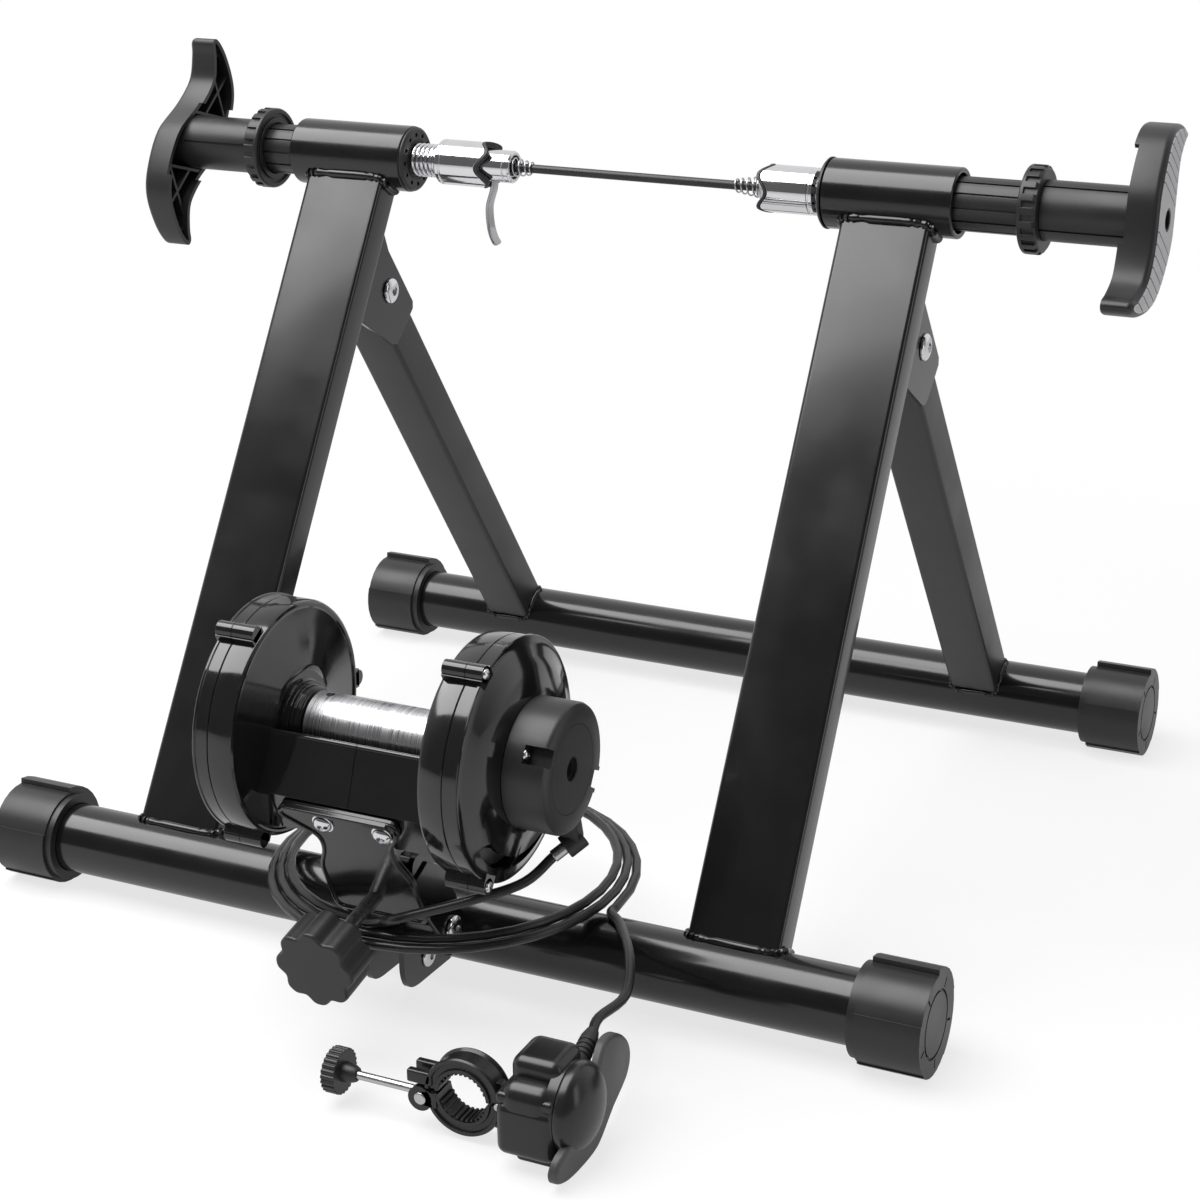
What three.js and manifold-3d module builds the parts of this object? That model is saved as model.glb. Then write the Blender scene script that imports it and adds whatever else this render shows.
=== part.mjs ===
// Folding indoor cycling stand: a wheel rests on its roller and a magnetic brake loads it.
// Millimetres. X runs across the stand, +Y to its rear and +Z up. While it is being built, y = 0 and
// z = 0 lie on the axis of the front tube; the whole group then moves so that its origin is on the
// floor, under the middle of the stand.

import * as THREE from 'three';
import { mergeGeometries, mergeVertices } from 'three/addons/utils/BufferGeometryUtils.js';
import Module from 'manifold-3d';

const wasm = await Module();
wasm.setup();

// Overall frame
const trackWidth = 545;
const tubeSpacing = 413;
const tubeDiameter = 38.1;
const tubeWall = 1.8;
const clampSetback = 224.5;
const clampRise = 353.3;
const legCentre = 165.5;
const frontLegWidth = 50;
const frontLegDepth = 20;
const rearLegWidth = 30;
const rearLegDepth = 26;
const legWall = 1.5;
const legCorner = 2.6;
const weldGap = 0.3;

// Fold hinge
const foldAlong = 350.2;
const foldBehind = 40.5;
const [foldSetback, foldRise] = besideFrontLeg(foldAlong, foldBehind);
const bracketWall = 3;
const bracketPlay = 0.5;
const foldBoltDiameter = 8;
const foldBoltPlay = 0.3;
const boltHeadDiameter = 15;
const boltHeadHeight = 4.6;
const rearLegOverhang = 15;

// Foot caps: each has five sectors whose radius grows, so that turning it levels the stand
const capSectors = 5;
const capFacetsPerSector = 6;
const capLowRadius = 25;
const capRadiusStep = 0.75;
const capRestSector = 2;
const capRestFacet = 3;
const capLength = 38;
const capEndWall = 4;
const capLipLength = 4;
const capLipRadius = 24;
const capPlay = 0.35;

// Axle clamps
const sleeveLength = 73;
const sleeveWall = 3;
const plugFlange = 2.4;
const plugDepth = 12;
const plugBore = 20.8;
const spindleDiameter = 29;
const spindleRibs = 12;
const spindleRibHeight = 1.1;
const spindleGrooveShare = 0.16;
const spindlePlay = 0.4;
const spindleOutside = 84;
const rodDiameter = 11.6;
const rodPlay = 0.4;
const lockRingDiameter = 47;
const lockRingLength = 10;
const lockRingGap = 31;
const lockRingFlutes = 20;
const lockRingFluteDepth = 1.5;
const lockRingFluteShare = 0.5;
const leftClampShift = -11;
const rightClampShift = 5;
const clampScrewPitch = 4;

// Handles
const handleLength = 126;
const handleWidth = 33;
const handleSway = 9;
const handleDepth = 20;
const handleWall = 2.6;
const handleWebDepth = 3;
const handleRib = 2;
const handleTubeDiameter = 32;
const handleTubeLength = 43;
const handleHubBore = 10;
const handleTiltLeft = THREE.MathUtils.degToRad(-17);
const handleTiltRight = THREE.MathUtils.degToRad(-43);

// Cups that grip the skewer
const cupDiameter = 26;
const cupLength = 29.5;
const cupWall = 1.2;
const cupFloor = 4;
const cupScallop = 2.6;
const cupScallops = 4;
const cupLeftBack = -110;
const cupRightBack = 123.4;
const linerPlay = 0.3;
const linerLip = 2;
const linerFloorLeft = 20.6;
const linerFloorRight = 5;
const cupSpringWire = 2.2;
const cupSpringTurns = 5;
const cupSpringDiameter = 19.5;
const cupTravel = 5;

// Quick-release skewer
const skewerRodDiameter = 5;
const camHousingDiameter = 18.5;
const camHousingLength = 21.4;
const camHousingEnd = -62.8;
const camHousingRecess = 4;
const camPivotOffset = 13.5;
const leverWidth = 8;
const leverThickness = 3;
const leverLength = 46;
const leverBow = 5;
const leverShares = [[0, 0], [0.28, 0], [0.52, -0.64], [0.76, -0.55], [1, 0.35]];
const skewerNutFace = 88.7;
const skewerNutDiameter = 20.6;
const skewerNutLength = 12;
const coneSpringWire = 1;
const coneSpringTurns = 4;
const coneSpringLength = 14;
const coneSpringWide = 13;
const coneSpringNarrow = 7.6;
const skewerPlay = 0.3;

// Resistance unit, about the axis of its roller
const unitSetback = -49;
const unitRise = 124;
const unitTilt = THREE.MathUtils.degToRad(-21.4);
const rollerDiameter = 32;
const rollerLength = 77.4;
const rollerHoleDiameter = 4.5;
const rollerHoleInset = 8;
const shaftDiameter = 12;
const housingDiameter = 120;
const housingInner = 51;
const housingSeam = 64.6;
const housingOuter = 73;
const housingWall = 2.5;
const housingDome = 8.5;
const rimStep = 1.2;
const seamGap = 0.3;
const collarDiameters = [40, 36, 34.4];
const collarLengths = [4, 3, 2];
const bearingDiameter = 32;
const bearingWidth = 10;
const bearingSeat = 40.6;
const fitGap = 0.3;
const bossDiameter = 8.4;
const bossAngles = [139.4, 19.4, -100.6].map(THREE.MathUtils.degToRad);
const flywheelPlay = 3.5;
const flywheelDiameter = housingDiameter - 2 * (housingWall + flywheelPlay);
const flywheelRim = 9;
const flywheelWeb = 4;
const flywheelHub = 26;
const flywheelStart = 56;
const brakeCapDiameter = 65;
const brakeCapEnd = 103.5;
const brakeCapWall = 2.5;
const brakeCapRound = 2;
const brakeCapHole = 9;
const notchWidth = 9;
const notchLength = 12;
const notchDepth = 7;
const notchAngles = [169.4, -10.6].map(THREE.MathUtils.degToRad);
const brakeDiscDiameter = 44;
const brakeDiscThickness = 4;
const magnetCarrierDiameter = 44;
const magnetCarrierThickness = 5;
const magnetCount = 6;
const magnetDiameter = 11;
const magnetProud = 1;
const magnetCarrierStart = 84;
const ventRadius = 50;
const ventWidth = 7;
const ventSweep = THREE.MathUtils.degToRad(34);
const ventAngles = [-62, -104].map(THREE.MathUtils.degToRad);

// Cradle under the roller, about the same axis
const cradleFront = 27;
const cradleLip = 6.4;
const cradleShoulder = 36.3;
const cradleFloor = 53;
const cradleFloorHalf = 10;
const cradleWall = 3;
const cradleLipBead = 1.6;

// Bracket that carries the unit, and the lug that it swings on
const pivotSetback = -36;
const pivotRise = 16;
const bracketPlateLeft = 42;
const bracketPlateRight = 28;
const bracketWaistHalf = 21;
const stalkHalf = 27;
const sheet = 3;
const plateHeight = 20;
const waistHeight = 30;
const flareHeight = 44;
const stalkToe = 13;
const cheekDepth = 24;
const earRadius = 11;
const pivotBoltDiameter = 8;
const pivotPlay = 0.3;
const lugHalf = 12;
const lugFront = -60;
const lugToe = -8;
const lugTop = 57;
const lugBoltDiameter = 6;
const lugBoltSetback = -36;
const lugBoltRise = -2;
const screwDiameter = 8;
const screwPlay = 0.5;
const screwSwingPlay = 1.4;
const screwSlope = THREE.MathUtils.degToRad(11);
const screwWebSetback = -62;
const screwWebRise = 43;
const nutBarrelDiameter = 14;
const knobDiameter = 43;
const knobLobes = 8;
const knobLobeDepth = 2.6;
const knobLength = 21;
const knobStandoff = 43;

// Cable and its coil, which rests on the front tube
const cableDiameter = 5;
const coilTurns = 2.74;
const coilInner = 84;
const coilGrowth = 5;
const coilCentreSetback = 14;
const coilStartAngle = THREE.MathUtils.degToRad(-95);
const coilTop = 30;
const coilDrop = 2.9;
const coilStepsPerTurn = 24;
const cableSides = 6;
const stopRadius = 46;
const stopAngle = THREE.MathUtils.degToRad(-53.6);
const ferruleDiameter = 6.4;
const ferruleLength = 12;
const leadPassesRim = [80, -57, 63];
const leadSinks = [60, -70, 56];
const leadPassesKnob = [24, -80, 43];
const leadLands = [8, -73, 34];
const tailLeavesCoil = [108, -8, 22.5];
const tailRises = [128, -40, 25];
const tailSinks = [139, -68, 20.6];

// Remote shifter, which lies on the floor in front of the stand
const shifterX = 131;
const shifterY = -140;
const shifterHeight = 29;
const shifterDrumDiameter = 45;
const shifterDrumLength = 29;
const shifterFootLength = 20;
const shifterFootWidth = 22;
const barBore = 25.4;
const barRingDiameter = 40;
const barRingWidth = 13;
const barRingOffset = 39.5;
const barRingDrop = 6.5;
const jawGap = 0.8;
const wingSpan = 72;
const wingWidth = 32;
const wingCorner = 9;
const wingWaistShare = 0.6;
const wingThickness = 4.4;
const wingTilt = THREE.MathUtils.degToRad(60);
const domeDiameter = 43;
const domeHeight = 11;
const swingBoltDiameter = 4.2;
const swingBoltLength = 38;
const swingBarrelDiameter = 12.6;
const smallKnobDiameter = 22.5;
const smallKnobLength = 9;
const smallKnobFlutes = 12;

// Fineness of round shapes
const fine = 28;
const round = 24;
const coarse = 12;
const small = 8;
const overrun = 1;
const mergeTolerance = 1e-3;

// Finishes
const blackPaint = new THREE.MeshStandardMaterial({ color: 0x141416, roughness: 0.35, metalness: 0.3 });
const glossPlastic = new THREE.MeshStandardMaterial({ color: 0x0c0c0e, roughness: 0.15, metalness: 0 });
const satinPlastic = new THREE.MeshStandardMaterial({ color: 0x1b1b1d, roughness: 0.5, metalness: 0 });
const rubber = new THREE.MeshStandardMaterial({ color: 0x101012, roughness: 0.6, metalness: 0 });
const chrome = new THREE.MeshStandardMaterial({ color: 0xd8d9dc, roughness: 0.1, metalness: 1 });
const steel = new THREE.MeshStandardMaterial({ color: 0xb4b6ba, roughness: 0.3, metalness: 1 });
const brushed = new THREE.MeshStandardMaterial({ color: 0xc6c8cb, roughness: 0.28, metalness: 1 });

const stand = new THREE.Group();
const tubeRadius = tubeDiameter / 2;
const capRestRadius = capLowRadius + capRestSector * capRadiusStep;

// Solids: closed geometries become manifold solids only to be joined and cut.

function cleanIndex(geometry) {
  const bare = geometry.clone();
  bare.deleteAttribute('normal');
  bare.deleteAttribute('uv');
  const merged = mergeVertices(bare, mergeTolerance);
  const source = merged.index.array;
  const kept = [];
  for (let i = 0; i < source.length; i += 3) {
    const [a, b, c] = [source[i], source[i + 1], source[i + 2]];
    if (a !== b && b !== c && c !== a) kept.push(a, b, c);
  }
  merged.setIndex(kept);
  return merged;
}

function signedVolume(geometry) {
  const position = geometry.attributes.position;
  const index = geometry.index.array;
  const corners = [new THREE.Vector3(), new THREE.Vector3(), new THREE.Vector3()];
  let volume = 0;
  for (let i = 0; i < index.length; i += 3) {
    corners.forEach((corner, k) => corner.fromBufferAttribute(position, index[i + k]));
    volume += corners[0].dot(corners[1].cross(corners[2])) / 6;
  }
  return volume;
}

function outward(geometry) {
  const clean = cleanIndex(geometry);
  if (signedVolume(clean) < 0) {
    const index = clean.index.array;
    for (let i = 0; i < index.length; i += 3) {
      [index[i + 1], index[i + 2]] = [index[i + 2], index[i + 1]];
    }
  }
  return clean;
}

function solid(geometry) {
  const clean = outward(geometry);
  const vertProperties = new Float32Array(clean.attributes.position.array);
  const triVerts = new Uint32Array(clean.index.array);
  return new wasm.Manifold(new wasm.Mesh({ numProp: 3, vertProperties, triVerts }));
}

function asGeometry(shape) {
  if (shape.isBufferGeometry) return outward(shape);
  const mesh = shape.getMesh();
  const geometry = new THREE.BufferGeometry();
  geometry.setAttribute('position', new THREE.BufferAttribute(mesh.vertProperties, mesh.numProp));
  geometry.setIndex(new THREE.BufferAttribute(mesh.triVerts, 1));
  return geometry;
}

function join(first, ...others) {
  return others.reduce((whole, other) => whole.add(solid(other)), first.isBufferGeometry ? solid(first) : first);
}

function cut(first, ...others) {
  return others.reduce((whole, other) => whole.subtract(solid(other)), first.isBufferGeometry ? solid(first) : first);
}

function piece(name, shape, material, parent = stand) {
  const geometry = asGeometry(shape);
  geometry.computeVertexNormals();
  const mesh = new THREE.Mesh(geometry, material);
  mesh.name = name;
  parent.add(mesh);
  return mesh;
}

// Basic forms along X

function spun(profile, sides = round) {
  const points = profile.map(([x, r]) => new THREE.Vector2(r, x));
  return new THREE.LatheGeometry(points, sides).rotateZ(-Math.PI / 2);
}

function rod(diameter, from, to, sides = coarse) {
  const r = diameter / 2;
  return spun([[from, 0], [from, r], [to, r], [to, 0]], sides);
}

function pipe(outer, inner, from, to, sides = round) {
  const [a, b] = [outer / 2, inner / 2];
  return spun([[from, b], [from, a], [to, a], [to, b], [from, b]], sides);
}

function extrude(shape, depth, curveSegments = 6) {
  return new THREE.ExtrudeGeometry(shape, { depth, bevelEnabled: false, steps: 1, curveSegments });
}

// A shape drawn with its first axis along Y and its second along Z, made thick from one X to another
function plateAcross(shape, from, to, curveSegments = 6) {
  const basis = new THREE.Matrix4().makeBasis(
    new THREE.Vector3(0, 1, 0), new THREE.Vector3(0, 0, 1), new THREE.Vector3(1, 0, 0));
  return extrude(shape, to - from, curveSegments).applyMatrix4(basis).translate(from, 0, 0);
}

function outline(points) {
  return new THREE.Shape(points.map(([a, b]) => new THREE.Vector2(a, b)));
}

function roundedRectangle(width, height, corner) {
  const [w, h, r] = [width / 2, height / 2, corner];
  const shape = new THREE.Shape();
  shape.absarc(w - r, h - r, r, 0, Math.PI / 2);
  shape.absarc(-w + r, h - r, r, Math.PI / 2, Math.PI);
  shape.absarc(-w + r, -h + r, r, Math.PI, 1.5 * Math.PI);
  shape.absarc(w - r, -h + r, r, 1.5 * Math.PI, 2 * Math.PI);
  shape.closePath();
  return shape;
}

function polar(radius, angle) {
  return [radius * Math.cos(angle), radius * Math.sin(angle)];
}

// An outline whose radius is a function of the angle
function polarShape(radiusAt, steps) {
  const points = [];
  for (let i = 0; i < steps; i++) {
    const angle = (i / steps) * 2 * Math.PI;
    points.push(polar(radiusAt(angle, i), angle));
  }
  return outline(points);
}

// A form round the X axis whose section, which starts and ends on the axis, changes with the angle
function spunWavy(sectionAt, sides) {
  const positions = [];
  const index = [];
  const count = sectionAt(0).length;
  for (let i = 0; i < sides; i++) {
    const angle = (i / sides) * 2 * Math.PI;
    for (const [x, r] of sectionAt(angle)) positions.push(x, ...polar(r, angle));
    const next = (i + 1) % sides;
    for (let k = 0; k < count - 1; k++) {
      const [a, b] = [i * count + k, i * count + k + 1];
      const [c, d] = [next * count + k, next * count + k + 1];
      index.push(a, b, d, a, d, c);
    }
  }
  const geometry = new THREE.BufferGeometry();
  geometry.setAttribute('position', new THREE.Float32BufferAttribute(positions, 3));
  geometry.setIndex(index);
  return geometry;
}

// An unbroken wire along a curve, with flat ends
function wire(curve, diameter, steps, sides) {
  const positions = [];
  const index = [];
  const frames = curve.computeFrenetFrames(steps, false);
  for (let i = 0; i <= steps; i++) {
    const centre = curve.getPointAt(i / steps);
    for (let k = 0; k < sides; k++) {
      const [a, b] = polar(diameter / 2, (k / sides) * 2 * Math.PI);
      const point = centre.clone().addScaledVector(frames.normals[i], a).addScaledVector(frames.binormals[i], b);
      positions.push(point.x, point.y, point.z);
    }
  }
  for (let i = 0; i < steps; i++) {
    for (let k = 0; k < sides; k++) {
      const [a, b] = [i * sides + k, i * sides + (k + 1) % sides];
      index.push(a, b, b + sides, a, b + sides, a + sides);
    }
  }
  for (let k = 1; k < sides - 1; k++) {
    index.push(0, k + 1, k);
    index.push(steps * sides, steps * sides + k, steps * sides + k + 1);
  }
  const geometry = new THREE.BufferGeometry();
  geometry.setAttribute('position', new THREE.Float32BufferAttribute(positions, 3));
  geometry.setIndex(index);
  return geometry;
}

class Helix extends THREE.Curve {
  constructor(turns, length, startRadius, endRadius) {
    super();
    Object.assign(this, { turns, length, startRadius, endRadius });
  }

  getPoint(t, target = new THREE.Vector3()) {
    const [y, z] = polar(THREE.MathUtils.lerp(this.startRadius, this.endRadius, t), t * this.turns * 2 * Math.PI);
    return target.set(t * this.length, y, z);
  }
}

// Moves a form from the X axis to the clamp axis
function atClamp(geometry) {
  return geometry.translate(0, clampSetback, clampRise);
}

// Front frame

// A rectangular tube from one point of the YZ plane to another, centred on x
function legTube(x, from, to, width, depth) {
  const start = new THREE.Vector3(x, from[0], from[1]);
  const along = new THREE.Vector3(x, to[0], to[1]).sub(start);
  const length = along.length();
  along.normalize();
  const side = new THREE.Vector3(1, 0, 0);
  const back = new THREE.Vector3().crossVectors(along, side);
  const shape = roundedRectangle(width, depth, legCorner);
  shape.holes.push(roundedRectangle(width - 2 * legWall, depth - 2 * legWall, legCorner - legWall));
  const basis = new THREE.Matrix4().makeBasis(side, back, along).setPosition(start);
  return extrude(shape, length, 2).applyMatrix4(basis);
}

function hollowTube(length) {
  return pipe(tubeDiameter, tubeDiameter - 2 * tubeWall, -length / 2, length / 2, fine);
}

function frontTube() {
  piece('front_tube', hollowTube(trackWidth - 2 * capEndWall - 2 * capPlay), blackPaint);
}

function frontLegAngle() {
  return Math.atan2(clampRise, clampSetback);
}

// A point given along the front leg from the front tube, and behind its centre line
function besideFrontLeg(along, behind) {
  const angle = frontLegAngle();
  return [along * Math.cos(angle) + behind * Math.sin(angle), along * Math.sin(angle) - behind * Math.cos(angle)];
}

// One cheek of the hinge bracket: it grows out of the back of the leg and ends in a blunt toe
function bracketCheekShape() {
  const back = frontLegDepth / 2;
  const pivotAlong = foldAlong;
  const behind = foldBehind;
  const points = [
    besideFrontLeg(pivotAlong + 1.32 * rearLegDepth, back),
    besideFrontLeg(pivotAlong - rearLegDepth, back),
    besideFrontLeg(pivotAlong - 1.06 * rearLegDepth, behind + 0.74 * rearLegDepth),
    besideFrontLeg(pivotAlong - 0.96 * rearLegDepth, behind + 0.92 * rearLegDepth),
    besideFrontLeg(pivotAlong - 0.74 * rearLegDepth, behind + rearLegDepth),
    besideFrontLeg(pivotAlong, behind + 1.22 * rearLegDepth),
    besideFrontLeg(pivotAlong + 0.8 * rearLegDepth, behind - 0.47 * rearLegDepth),
  ];
  return outline(points);
}

function frontLeg(name, x) {
  const leg = legTube(x, [0, 0], [clampSetback, clampRise], frontLegWidth, frontLegDepth);
  const inner = rearLegWidth / 2 + bracketPlay;
  const cheek = bracketCheekShape();
  const body = cut(
    leg,
    rod(tubeDiameter + 2 * weldGap, x - frontLegWidth, x + frontLegWidth, fine),
    atClamp(rod(tubeDiameter + 2 * weldGap, x - frontLegWidth, x + frontLegWidth, fine)));
  const cheeks = [
    plateAcross(cheek, x - inner - bracketWall, x - inner),
    plateAcross(cheek, x + inner, x + inner + bracketWall),
  ];
  const web = bracketWeb(x, inner);
  const bore = rod(foldBoltDiameter + 2 * foldBoltPlay, x - frontLegWidth, x + frontLegWidth)
    .translate(0, foldSetback, foldRise);
  return piece(name, cut(join(body, ...cheeks, web), bore), blackPaint);
}

// The web of the bracket lies on the back of the leg and joins the two cheeks
function bracketWeb(x, inner) {
  const back = frontLegDepth / 2;
  const pivotAlong = foldAlong;
  const sunk = legWall / 2;
  const shape = outline([
    besideFrontLeg(pivotAlong + 1.32 * rearLegDepth, back - sunk),
    besideFrontLeg(pivotAlong - rearLegDepth, back - sunk),
    besideFrontLeg(pivotAlong - rearLegDepth, back + bracketWall),
    besideFrontLeg(pivotAlong + 1.2 * rearLegDepth, back + bracketWall),
  ]);
  return plateAcross(shape, x - inner - bracketWall, x + inner + bracketWall);
}

// The sleeve is welded across the top of its leg, with a small saddle behind it
function clampSleeve(name, x) {
  const [from, to] = [x - sleeveLength / 2, x + sleeveLength / 2];
  const sleeve = pipe(tubeDiameter, tubeDiameter - 2 * sleeveWall, from, to, fine);
  return piece(name, atClamp(sleeve), blackPaint);
}

// The bush in the inner end of a sleeve
function sleevePlug(name, side) {
  const face = side * (legCentre - sleeveLength / 2);
  const seat = tubeDiameter / 2 - sleeveWall - fitGap;
  const flange = side > 0 ? tubeRadius + bracketPlay : tubeRadius - bracketPlay;
  const inner = plugBore / 2;
  const profile = [
    [-plugFlange, inner], [-plugFlange, flange - plugFlange / 2], [-plugFlange / 2, flange], [-fitGap, flange],
    [-fitGap, seat], [plugDepth, seat], [plugDepth, inner], [-plugFlange, inner],
  ].map(([along, r]) => [face + side * along, r]);
  return piece(name, atClamp(spun(profile, fine)), satinPlastic);
}

// Lug under the front tube: two cheeks and a block for the barrel nut of the tension screw
function unitLug() {
  const cheekShape = outline([
    [lugFront, lugToe + earRadius / 2],
    [lugFront + earRadius / 3, lugToe - earRadius / 4],
    [lugFront + earRadius, lugToe - earRadius / 2],
    [0, -tubeRadius + sheet],
    [0, tubeRadius - sheet],
    [lugBoltSetback + earRadius * 1.6, pivotRise + earRadius],
    [lugBoltSetback + earRadius * 1.2, lugTop - sheet],
    [lugBoltSetback + earRadius, lugTop],
    [lugBoltSetback - earRadius, lugTop],
    [lugFront + earRadius * 0.8, pivotRise + earRadius * 1.8],
    [lugFront, pivotRise + earRadius / 2],
  ]);
  const cheeks = [
    plateAcross(cheekShape, -lugHalf, -lugHalf + sheet),
    plateAcross(cheekShape, lugHalf - sheet, lugHalf),
  ];
  const [nutY, nutZ] = nutCentre();
  const barrel = rod(nutBarrelDiameter, -lugHalf, lugHalf, round).translate(0, nutY, nutZ);
  const strap = plateAcross(outline([
    [-tubeRadius - 3 * sheet, pivotRise + sheet],
    [-tubeRadius - 2 * sheet, pivotRise + sheet],
    [-tubeRadius - 2 * sheet, pivotRise + earRadius * 1.5],
    [-tubeRadius - 3 * sheet, pivotRise + earRadius * 1.5],
  ]), -lugHalf, lugHalf);
  const wide = 2 * lugHalf;
  return piece('unit_lug', cut(
    join(...cheeks, barrel, strap),
    rod(tubeDiameter + 2 * weldGap, -wide, wide, fine),
    rod(pivotBoltDiameter + 2 * pivotPlay, -wide, wide).translate(0, pivotSetback, pivotRise),
    rod(lugBoltDiameter + 2 * pivotPlay, -wide, wide).translate(0, lugBoltSetback, lugBoltRise),
    alongScrew(rod(screwDiameter + 2 * screwSwingPlay, -knobLength, knobLength), nutOffset())), blackPaint);
}

// The tension screw runs down to the front through the web of the bracket. A form built along X is
// laid on its line, its start the given distance behind the web.
function alongScrew(geometry, behindWeb = 0) {
  const forward = new THREE.Vector3(0, -Math.cos(screwSlope), -Math.sin(screwSlope));
  const side = new THREE.Vector3(1, 0, 0);
  const up = new THREE.Vector3().crossVectors(forward, side);
  const start = new THREE.Vector3(0, screwWebSetback, screwWebRise).addScaledVector(forward, -behindWeb);
  return geometry.applyMatrix4(new THREE.Matrix4().makeBasis(forward, side, up).setPosition(start));
}

// The nut lies where the screw passes nearest to the pivot
function nutOffset() {
  const toPivot = [pivotSetback - screwWebSetback, pivotRise - screwWebRise];
  return toPivot[0] * Math.cos(screwSlope) + toPivot[1] * Math.sin(screwSlope);
}

function nutCentre() {
  const offset = nutOffset();
  return [screwWebSetback + offset * Math.cos(screwSlope), screwWebRise + offset * Math.sin(screwSlope)];
}

// A bolt across X: domed head on the +X end, nut on the other
function crossBolt(name, diameter, from, to, headDiameter, y, z, x = 0) {
  const r = diameter / 2;
  const head = headDiameter / 2;
  const height = headDiameter * 0.32;
  const profile = [
    [from - height, 0], [from - height, head * 0.86], [from - height * 0.8, head * 0.92], [from, head * 0.92], [from, r],
    [to, r], [to, head], [to + height * 0.35, head], [to + height * 0.75, head * 0.72], [to + height, head * 0.3],
    [to + height, 0],
  ];
  return piece(name, spun(profile, coarse).translate(x, y, z), steel);
}

function frontFrame() {
  frontTube();
  for (const [side, sign] of [['left', -1], ['right', 1]]) {
    frontLeg(`front_leg_${side}`, sign * legCentre);
    clampSleeve(`clamp_sleeve_${side}`, sign * legCentre);
    sleevePlug(`sleeve_plug_${side}`, sign);
  }
  unitLug();
  crossBolt('lug_bolt', lugBoltDiameter, -lugHalf - fitGap, lugHalf + fitGap, 2 * lugBoltDiameter,
    lugBoltSetback, lugBoltRise);
}

// Rear frame, which folds about the bolts through the brackets

function rearLeg(name, x) {
  const down = new THREE.Vector2(tubeSpacing - foldSetback, -foldRise).normalize();
  const top = [foldSetback - down.x * rearLegOverhang, foldRise - down.y * rearLegOverhang];
  const leg = legTube(x, top, [tubeSpacing, 0], rearLegWidth, rearLegDepth);
  const wide = rearLegWidth;
  return piece(name, cut(
    leg,
    rod(tubeDiameter + 2 * weldGap, x - wide, x + wide, fine).translate(0, tubeSpacing, 0),
    rod(foldBoltDiameter + 2 * foldBoltPlay, x - wide, x + wide).translate(0, foldSetback, foldRise)), blackPaint);
}

function rearFrame() {
  piece('rear_tube', hollowTube(trackWidth - 2 * capEndWall - 2 * capPlay).translate(0, tubeSpacing, 0), blackPaint);
  const reach = rearLegWidth / 2 + bracketPlay + bracketWall + fitGap;
  for (const [side, sign] of [['left', -1], ['right', 1]]) {
    const x = sign * legCentre;
    rearLeg(`rear_leg_${side}`, x);
    crossBolt(`fold_bolt_${side}`, foldBoltDiameter, -reach, reach, boltHeadDiameter, foldSetback, foldRise, x);
  }
}

// Foot caps

// Each facet of the cap is flat, and its distance from the axis grows from sector to sector
function footCapShape() {
  const facets = capSectors * capFacetsPerSector;
  const facetAngle = (2 * Math.PI) / facets;
  const restFacet = capRestSector * capFacetsPerSector + capRestFacet;
  const start = -Math.PI / 2 - (restFacet + 0.5) * facetAngle;
  const points = [];
  for (let sector = 0; sector < capSectors; sector++) {
    const radius = (capLowRadius + sector * capRadiusStep) / Math.cos(facetAngle / 2);
    for (let i = 0; i <= capFacetsPerSector; i++) {
      points.push(polar(radius, start + (sector * capFacetsPerSector + i) * facetAngle));
    }
  }
  return outline(points);
}

function footCap(name, side, y) {
  const end = trackWidth / 2;
  const body = plateAcross(footCapShape(), end - capLength + capLipLength, end);
  const lip = rod(2 * capLipRadius, end - capLength, end - capLength + capLipLength + overrun, fine);
  const bore = rod(tubeDiameter + 2 * capPlay, end - capLength - overrun, end - capEndWall, fine);
  const cap = asGeometry(cut(join(body, lip), bore));
  if (side < 0) cap.applyMatrix4(new THREE.Matrix4().makeScale(-1, 1, 1));
  piece(name, outward(cap.translate(0, y, 0)), rubber);
}

function footCaps() {
  for (const [end, y] of [['front', 0], ['rear', tubeSpacing]]) {
    for (const [side, sign] of [['left', -1], ['right', 1]]) footCap(`foot_cap_${end}_${side}`, sign, y);
  }
}

// Axle clamps. Each is built for the right-hand side, with x outward, and mirrored for the left.

function clampShift(side) {
  return side > 0 ? rightClampShift : leftClampShift;
}

function clampGroup(side) {
  const shift = clampShift(side);
  return (geometry) => {
    const placed = asGeometry(geometry).translate(shift, 0, 0);
    if (side < 0) placed.applyMatrix4(new THREE.Matrix4().makeScale(-1, 1, 1));
    return atClamp(outward(placed));
  };
}

const sleeveOuter = legCentre + sleeveLength / 2;
const ringStart = sleeveOuter + lockRingGap;
const handleTubeStart = ringStart + lockRingLength + fitGap;
const handleStart = handleTubeStart + handleTubeLength;

function spindleShape() {
  const perRib = 4;
  const high = spindleDiameter / 2;
  const points = [];
  for (let rib = 0; rib < spindleRibs; rib++) {
    for (const [share, radius] of [[0, high], [1 - spindleGrooveShare, high],
      [1 - spindleGrooveShare, high - spindleRibHeight], [1, high - spindleRibHeight]]) {
      points.push(polar(radius, ((rib + share) / spindleRibs) * 2 * Math.PI));
    }
    const middle = points.length - perRib + 1;
    points.splice(middle, 0, polar(high, ((rib + (1 - spindleGrooveShare) / 2) / spindleRibs) * 2 * Math.PI));
  }
  return outline(points);
}

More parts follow.
